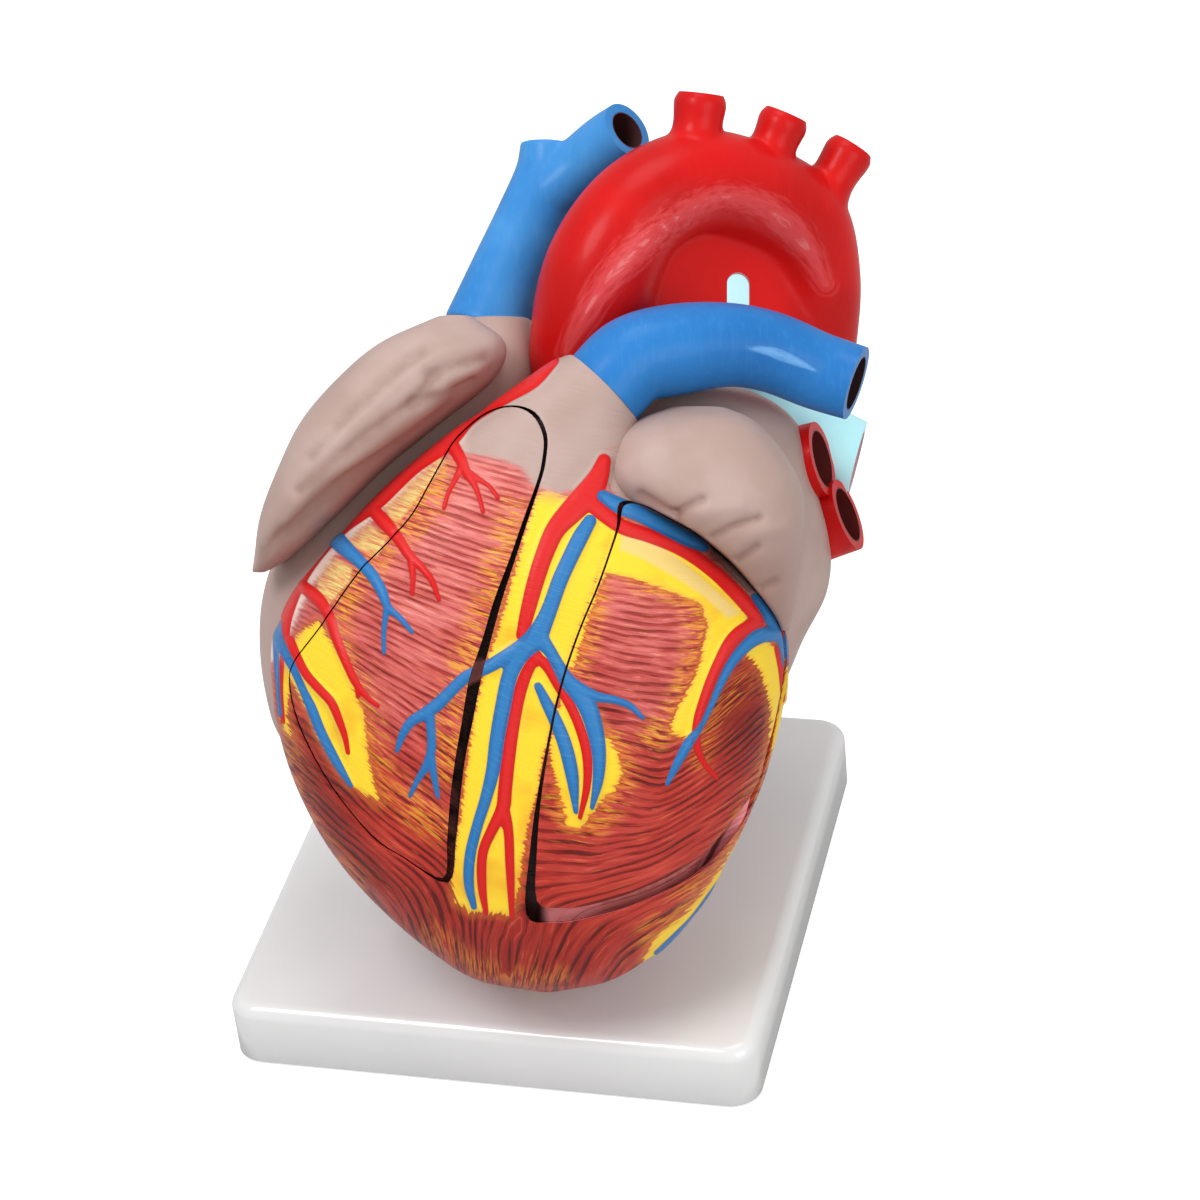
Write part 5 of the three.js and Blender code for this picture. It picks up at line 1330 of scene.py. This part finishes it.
def aortic_arch():
    """The aorta with its dished web, three stumps, bores, the gap, and room for the two blue vessels."""
    solid = tube(AORTA, past=(0, 6))
    web = prism(closed_curve(ARCH_WEB, 6), 0, ARCH_WEB_THICKNESS)
    points = coordinates(web)
    points[:, 2] += ARCH_WEB_BACK + ARCH_WEB_SLANT * points[:, 0]
    set_coordinates(web, points)
    combine(solid, web, "UNION")
    branches = []
    for start, end, radius in AORTIC_BRANCHES:
        _, middle, _ = straight(start, end, radius)
        way = np.subtract(end, start) / np.linalg.norm(np.subtract(end, start))
        shoulder = [(*(end - way * back), radius + grow) for back, grow in STUMP_SHOULDER]
        branches.append([(*start, radius + STUMP_FLARE), middle, *shoulder])
        combine(solid, tube(branches[-1], past=(0, 4)), "UNION")
    melt(solid, 1.3, 12)
    soften_dish(solid)
    for line in (*branches, AORTA):
        cut_ends(solid, line, (0, 6))
    bores = [offset(AORTA, -VESSEL_WALL)]
    combine(solid, tube(bores[0], past=(30, 30)))
    for start, end, radius in AORTIC_BRANCHES:
        bores.append(straight(start, end, radius - STUMP_WALL))
        combine(solid, tube(bores[-1], past=(0, 10)))
    x, top, bottom, width = ARCH_GAP
    half = width / 2
    slot = [(x - half, bottom), (x + half, bottom)]
    slot += [(x + half * math.cos(a), top - half + half * math.sin(a)) for a in np.linspace(0, math.pi, 13)]
    combine(solid, prism(slot, *GAP_REACH))
    combine(solid, tube(offset(RIGHT_PULMONARY_ARTERY, ARTERY_ROOM)))
    combine(solid, tube(offset(PULMONARY_TRUNK, TRUNK_ROOM)))
    store_bore(solid, bores, AORTA_SHEEN)
    return solid


def soften_dish(solid):
    """Eases the crease where the arch runs into its web."""
    points = coordinates(solid)
    inside = area_distance([ARCH_WEB], points[:, 0], points[:, 1], True)
    weight = eased(6.0, -6.0, inside) * eased(-95, -70, points[:, 2])
    group = solid.vertex_groups.new(name="dish")
    for i in np.flatnonzero(weight > 0.02).tolist():
        group.add([i], float(weight[i]), "REPLACE")
    softer = solid.modifiers.new("soft", "SMOOTH")
    softer.vertex_group = "dish"
    softer.factor = 0.5
    softer.iterations = int(60 / DETAIL**2)
    apply_modifiers(solid)


def pulmonary_trunk():
    lines = (PULMONARY_TRUNK, RIGHT_PULMONARY_ARTERY)
    solid, bores = joined_pipes(lines, ((6, 6), (0, 6)), ((10, 10), (0, 10)), 5)
    store_bore(solid, bores, TRUNK_SHEEN, along_x=True)
    return solid


def upper_cava():
    solid, bores = joined_pipes((SUPERIOR_VENA_CAVA, RIGHT_BRANCH), ((0, 0), (0, 6)), ((10, 10), (0, 10)), 6)
    store_bore(solid, bores)
    return solid


def airway():
    """The windpipe and both bronchi."""
    lines = (WINDPIPE, LEFT_BRONCHUS, RIGHT_BRONCHUS)
    solid = union(*[tube(line, past) for line, past in zip(lines, ((6, 0), (0, 14), (0, 6)))])
    melt(solid, 1.2, 5)
    cut_ends(solid, WINDPIPE, (6, 0))
    end = np.array(LEFT_BRONCHUS[-1][:3], float)
    combine(solid, rod(end, end + np.array(BRONCHUS_CUT) * BRONCHUS_CUT_DEPTH, BRONCHUS_CUT_RADIUS))
    cut_ends(solid, RIGHT_BRONCHUS, (0, 6))
    bores = [offset(line, -VESSEL_WALL) for line in lines]
    for bore, past in zip(bores, ((10, 0), (0, 24), (0, 10))):
        combine(solid, tube(bore, past))
    store_bore(solid, bores)
    return solid


def stump(line):
    """A short open piece of a vessel."""
    bore = offset(line, -VESSEL_WALL + 0.5)
    solid = cut_ends(melt(tube(line, past=(6, 6)), 1.0, 4), line, (6, 6))
    combine(solid, tube(bore, past=(10, 10)))
    store_bore(solid, [bore])
    return solid


finish_piece(aortic_arch(), "painted_aorta", "heart", ["aorta"], red_gloss)
finish_piece(pulmonary_trunk(), "painted_pulmonary_trunk", "heart", ["pulmonary_trunk"], blue_gloss)
finish_piece(upper_cava(), "painted_upper_cava", "heart", ["superior_vena_cava"], light_blue_gloss)
lower_cava = stump(INFERIOR_VENA_CAVA)
finish_piece(lower_cava, "painted_lower_cava", "heart", ["inferior_vena_cava"], light_blue_gloss)
finish_piece(airway(), "painted_windpipe", "heart", ["windpipe"], cyan_gloss)
for node, ends in VEINS_OF_LUNGS.items():
    finish_piece(stump(straight(*ends)), "painted_" + node, "heart", [node], red_gloss)


# Atria and auricles

SOFT_POWER = 2.25
# Depth of the recess behind a valve, radius of the room for the aorta, how far the atria reach into the
# ventricles, and clearance of the auricles round the lift-off walls
VALVE_RECESS = 22
AORTA_ROOM = 17
ATRIUM_SEAT = 2.0
AURICLE_GAP = 0.4
RIGHT_ATRIUM = [
    (-92, -124, -96, -30, -62), (-84, -134, -82, -8, -84), (-66, -140, -64, 8, -94),
    (-40, -143, -52, 20, -98), (-15, -141, -40, 24, -98), (10, -132, -30, 24, -96),
    (35, -116, -22, 22, -92), (60, -96, -14, 18, -84), (85, -72, -10, 8, -70), (104, -56, -12, -6, -58),
    (115, -51, -14, -14, -54),
]
LEFT_ATRIUM = [
    (-66, 80, 100, -38, -64), (-58, 66, 107, -18, -84), (-38, 30, 115.5, 6, -98), (-14, 6, 127, 20, -104),
    (12, -8, 128, 28, -106), (36, -12, 121, 30, -104), (56, -4, 117, 24, -96), (70, 14, 108, 14, -86),
    (80, 30, 92, 0, -74), (84, 46, 78, -20, -60),
]
RIGHT_AURICLE = [
    (-6, -142, -136, 22, 10), (0, -141, -126, 34, -4), (20, -137.5, -103, 52, -14), (42, -129, -80, 62, -18),
    (64, -118, -53, 64, -18), (84, -101, -29.5, 58, -16), (100, -82, -25, 46, -10), (112, -56, -40, 30, 4),
]
LEFT_AURICLE = [
    (-33, 95, 106, 34, 8), (-22, 84, 108.5, 49, 0), (-10, 72, 110, 62, -6), (1, 58, 111.5, 73, -12),
    (14, 40, 112.5, 80, -14), (26, 24, 112, 82, -14), (35, 17, 110, 81, -12), (46, 19.5, 104, 78, -8),
    (56, 24, 97, 72, -6), (64, 36, 88, 62, 0), (69.5, 50, 76, 44, 14),
]


def soft_body(stations):
    heights = np.linspace(stations[0][0], stations[-1][0], int(90 / DETAIL))
    angles = np.linspace(0, 2 * math.pi, int(120 / DETAIL), endpoint=False)
    return closed_grid(loft_points(stations, heights, angles, SOFT_POWER))


def atrium(stations, valve):
    solid = soft_body(stations)
    start, end, radius = VALVES[valve]
    way = np.array(start, float) - np.array(end, float)
    deep = np.array(start) + way / np.linalg.norm(way) * VALVE_RECESS
    combine(solid, rod(deep, end, radius))
    combine(solid, rod(*VALVES["aortic"][:2], AORTA_ROOM))
    combine(solid, ventricle_inside(ATRIUM_SEAT))
    melt(solid, 1.4, 6)
    return solid


# Ridges and grooves of the auricles, in pixels of the photograph: line, width and height in millimetres
RIGHT_FOLDS = [
    ([(258, 556), (300, 521), (353, 476), (390, 449), (430, 421), (470, 396), (500, 371)], 4.5, -2.6),
    ([(285, 520), (321, 478), (358, 459), (413, 427), (447, 396)], 4.0, 2.0),
    ([(300, 490), (335, 462), (365, 436), (405, 408), (435, 378)], 3.6, -1.8),
    ([(415, 404), (445, 395), (473, 384)], 3.2, -2.0),
    ([(430, 372), (455, 366), (485, 358)], 3.4, -1.6),
    ([(380, 400), (410, 372), (450, 350), (490, 345)], 5.0, 1.5),
    ([(310, 455), (345, 415), (385, 378), (420, 352)], 4.5, -1.4),
    ([(350, 385), (385, 350), (430, 330)], 5.0, 1.2),
]
LEFT_FOLDS = [
    ([(640, 495), (656, 505), (672, 515)], 3.0, -2.0),
    ([(672, 516), (688, 506), (702, 499)], 2.4, -2.0),
    ([(712, 538), (738, 525), (760, 518)], 2.4, -2.0),
    ([(726, 569), (742, 557), (757, 547)], 2.4, -1.9),
    ([(757, 592), (767, 586), (777, 582)], 2.4, -1.8),
    ([(690, 522), (710, 512), (740, 505)], 4.0, 1.2),
    ([(735, 548), (755, 535), (785, 528)], 4.0, 1.2),
    ([(625, 470), (650, 445), (690, 432)], 6.0, 1.4),
]


def fold(obj, folds):
    """Raises ridges and presses grooves into a soft piece's front, and keeps their depth and how much each
    face looks down, for the painted shade.
    """
    points = coordinates(obj)
    out = normals(obj)
    pixels = to_pixels(points)
    seen = eased(0.0, 0.5, out[:, 2])
    height, deep = np.zeros(len(points)), np.zeros(len(points))
    for line, width, size in folds:
        gap = line_distance([[(x, y, 0) for x, y in line]], pixels[:, 0], pixels[:, 1], 6.0) * MM_PER_PIXEL
        share = np.exp(-((gap / width) ** 2)) * seen
        height += size * share
        deep += max(-size, 0) * share * 0.5
    set_coordinates(obj, points + out * height[:, None])
    # Faces that look down get painted shade
    underside_shade = eased(0.1, -0.75, out[:, 1]) * eased(-0.2, 0.3, out[:, 2])
    store_place(obj)
    add_vector(obj, "fold", (deep, underside_shade, 0))


right_atrium, left_atrium = atrium(RIGHT_ATRIUM, "tricuspid"), atrium(LEFT_ATRIUM, "mitral")
right_auricle, left_auricle = soft_body(RIGHT_AURICLE), soft_body(LEFT_AURICLE)
for piece, outline in ((right_auricle, RIGHT_WALL), (left_auricle, LEFT_WALL)):
    combine(piece, window(outline, AURICLE_GAP))
    melt(piece, 1.2, 8)
for piece in (right_atrium, left_atrium):
    store_place(piece)
fold(right_auricle, RIGHT_FOLDS)
fold(left_auricle, LEFT_FOLDS)
for piece, node in ((right_atrium, "right_atrium"), (left_atrium, "left_atrium"),
                    (right_auricle, "right_auricle"), (left_auricle, "left_auricle")):
    finish_piece(piece, "painted_" + node, "heart", [node], beige_gloss)


# Inside of the heart: the CAD forms, softened


def softened(node, name, material, voxel, smooth=4):
    """A softened copy of a node's own form. The node itself stays as it is."""
    obj = duplicate(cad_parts[node])
    obj.parent = None
    for key in list(obj.keys()):
        del obj[key]
    set_coordinates(obj, from_world(coordinates(obj) / MM))
    melt(obj, voxel, smooth)
    store_place(obj)
    return finish_piece(obj, name, "heart", [node], material)


inner_paint = simple_paint("painted_inside", colour(206, 116, 108), colour(176, 80, 74),
                           colour(222, 150, 140))
softened("ventricle_septum", "painted_septum", inner_paint, 1.4)
for side in ("right", "left"):
    for place in ("front", "back"):
        node = f"{side}_papillary_muscle_{place}"
        softened(node, "painted_" + node, inner_paint, 0.8)
for valve in VALVES:
    softened(valve + "_valve", "painted_" + valve + "_valve", ivory_paint, 0.7, 3)


# Stand

STAND_SIDE, STAND_HEIGHT = 260, 35
# Radii of the slab's corners and of its upper edge, how high its foot is, and how far that is drawn in
STAND_CORNER, STAND_EDGE = 14, 7
STAND_FOOT, STAND_FOOT_TOP, STAND_FOOT_DRAWN = 1.0, 1.9, 0.7
# Top and radius of the post's hole, and of the washer's room under it
STAND_HOLES = ((80, 8.4), (15, 16.5))


def rounded_square(side, corner, z, parts=10):
    ring = []
    for x, y, start in ((1, 1, 0), (-1, 1, 90), (-1, -1, 180), (1, -1, 270)):
        for i in range(parts + 1):
            a = math.radians(start + i * 90 / parts)
            ring.append((x * (side / 2 - corner) + corner * math.cos(a),
                         y * (side / 2 - corner) + corner * math.sin(a), z))
    return ring


def stand_plate():
    rings = [rounded_square(STAND_SIDE - 2 * STAND_FOOT_DRAWN, STAND_CORNER, STAND_FOOT),
             rounded_square(STAND_SIDE, STAND_CORNER, STAND_FOOT_TOP)]
    for a in np.arange(9) / 8 * math.pi / 2:
        drawn = STAND_EDGE * (1 - math.cos(a))
        height = STAND_HEIGHT - STAND_EDGE * (1 - math.sin(a))
        rings.append(rounded_square(STAND_SIDE - 2 * drawn, STAND_CORNER - drawn * 0.5, height))
    solid = closed_grid(np.array(rings))
    for top, radius in STAND_HOLES:
        combine(solid, rod((0, 0, -10), (0, 0, top), radius))
    return solid


stand = stand_plate()
store_place(stand)
stand.name = "gloss_stand"
set_coordinates(stand, coordinates(stand) * MM)
dress(stand, "stand", ["stand_plate"], white_gloss, 50)


def metal(name, shade, roughness):
    """Metal with fine lines across its length."""
    p = Paint(name, roughness=roughness, metallic=1.0)
    where = p.tree.nodes.new("ShaderNodeTexCoord").outputs["Object"]
    lines = p.noise(p.mapped(where, Scale=(200, 200, 9000)), detail=2.0)
    base = p.mix(p.ease(lines, 0.3, 0.7), shade, tuple(c * 0.8 for c in shade[:3]) + (1.0,))
    return p.done(base, p.bump(lines, 0.00002), p.ease(lines, 0.3, 0.7, roughness - 0.08, roughness + 0.08))


def grainy(name, base, shade, roughness, scale):
    """A plain material of two shades in fine grains."""
    p = Paint(name, roughness=roughness)
    where = p.tree.nodes.new("ShaderNodeTexCoord").outputs["Object"]
    grain = p.noise(where, scale=scale, detail=4.0)
    return p.done(p.mix(p.ease(grain, 0.35, 0.65), shade, base), p.bump(grain, 0.0002, 0.6))


steel = metal("brushed_steel", colour(196, 198, 200), 0.3)
foam = grainy("foam_pad", colour(78, 78, 80), colour(58, 58, 60), 0.9, 900)
nylon = grainy("nylon", colour(232, 232, 226), colour(222, 222, 214), 0.5, 300)
bare_nodes = {"stand_pad": foam, "post_socket": nylon}
bare_nodes.update((node, steel) for node in ("support_post", "post_washer", "post_screw"))
bare_nodes.update((node, steel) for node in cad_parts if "_peg_" in node)
for node, material in bare_nodes.items():
    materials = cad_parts[node].data.materials
    materials.clear()
    materials.append(material)


# Studio

FLOOR_HALF = 4
# Light that the floor adds where the camera sees it, and the world's light on the model and in the camera
FLOOR_GLOW = 0.6
WORLD_LIGHT, WORLD_SEEN = 0.56, 1.0
LAMP_AIM = (0, 0, 0.2)

corners = [(x * FLOOR_HALF, y * FLOOR_HALF, 0) for x, y in ((-1, -1), (1, -1), (1, 1), (-1, 1))]
floor = mesh_object("studio_floor", corners, [(0, 1, 2, 3)])
floor_paint = Paint("studio_floor", roughness=0.9, specular=0.1)
floor_paint.done(colour(215, 215, 215))
floor_paint.shader.inputs["Emission Color"].default_value = (1, 1, 1, 1)
seen = floor_paint.tree.nodes.new("ShaderNodeLightPath").outputs["Is Camera Ray"]
floor_paint.put(floor_paint.shader.inputs["Emission Strength"], floor_paint.times(seen, FLOOR_GLOW))
floor.data.materials.append(floor_paint.material)

world = bpy.data.worlds.new("studio")
bpy.context.scene.world = world
world.use_nodes = True
world_nodes = world.node_tree
background = world_nodes.nodes["Background"]
background.inputs["Color"].default_value = (1, 1, 1, 1)
path = world_nodes.nodes.new("ShaderNodeLightPath")
strength = world_nodes.nodes.new("ShaderNodeMapRange")
strength.inputs["To Min"].default_value = WORLD_LIGHT
strength.inputs["To Max"].default_value = WORLD_SEEN
world_nodes.links.new(path.outputs["Is Camera Ray"], strength.inputs["Value"])
world_nodes.links.new(strength.outputs["Result"], background.inputs["Strength"])


def lamp(name, place, size, power):
    data = bpy.data.lights.new(name, "AREA")
    data.shape = "DISK"
    data.size = size
    data.energy = power
    obj = bpy.data.objects.new(name, data)
    obj.location = place
    obj.rotation_euler = (Vector(LAMP_AIM) - obj.location).to_track_quat("-Z", "Y").to_euler()
    bpy.context.scene.collection.objects.link(obj)


lamp("key", (-0.6, -0.9, 1.9), 0.9, 18.5)
lamp("fill", (1.3, -0.9, 1.0), 1.2, 8.5)
lamp("top", (0.1, 0.4, 1.9), 1.0, 8)

bpy.context.scene.view_settings.view_transform = "Standard"
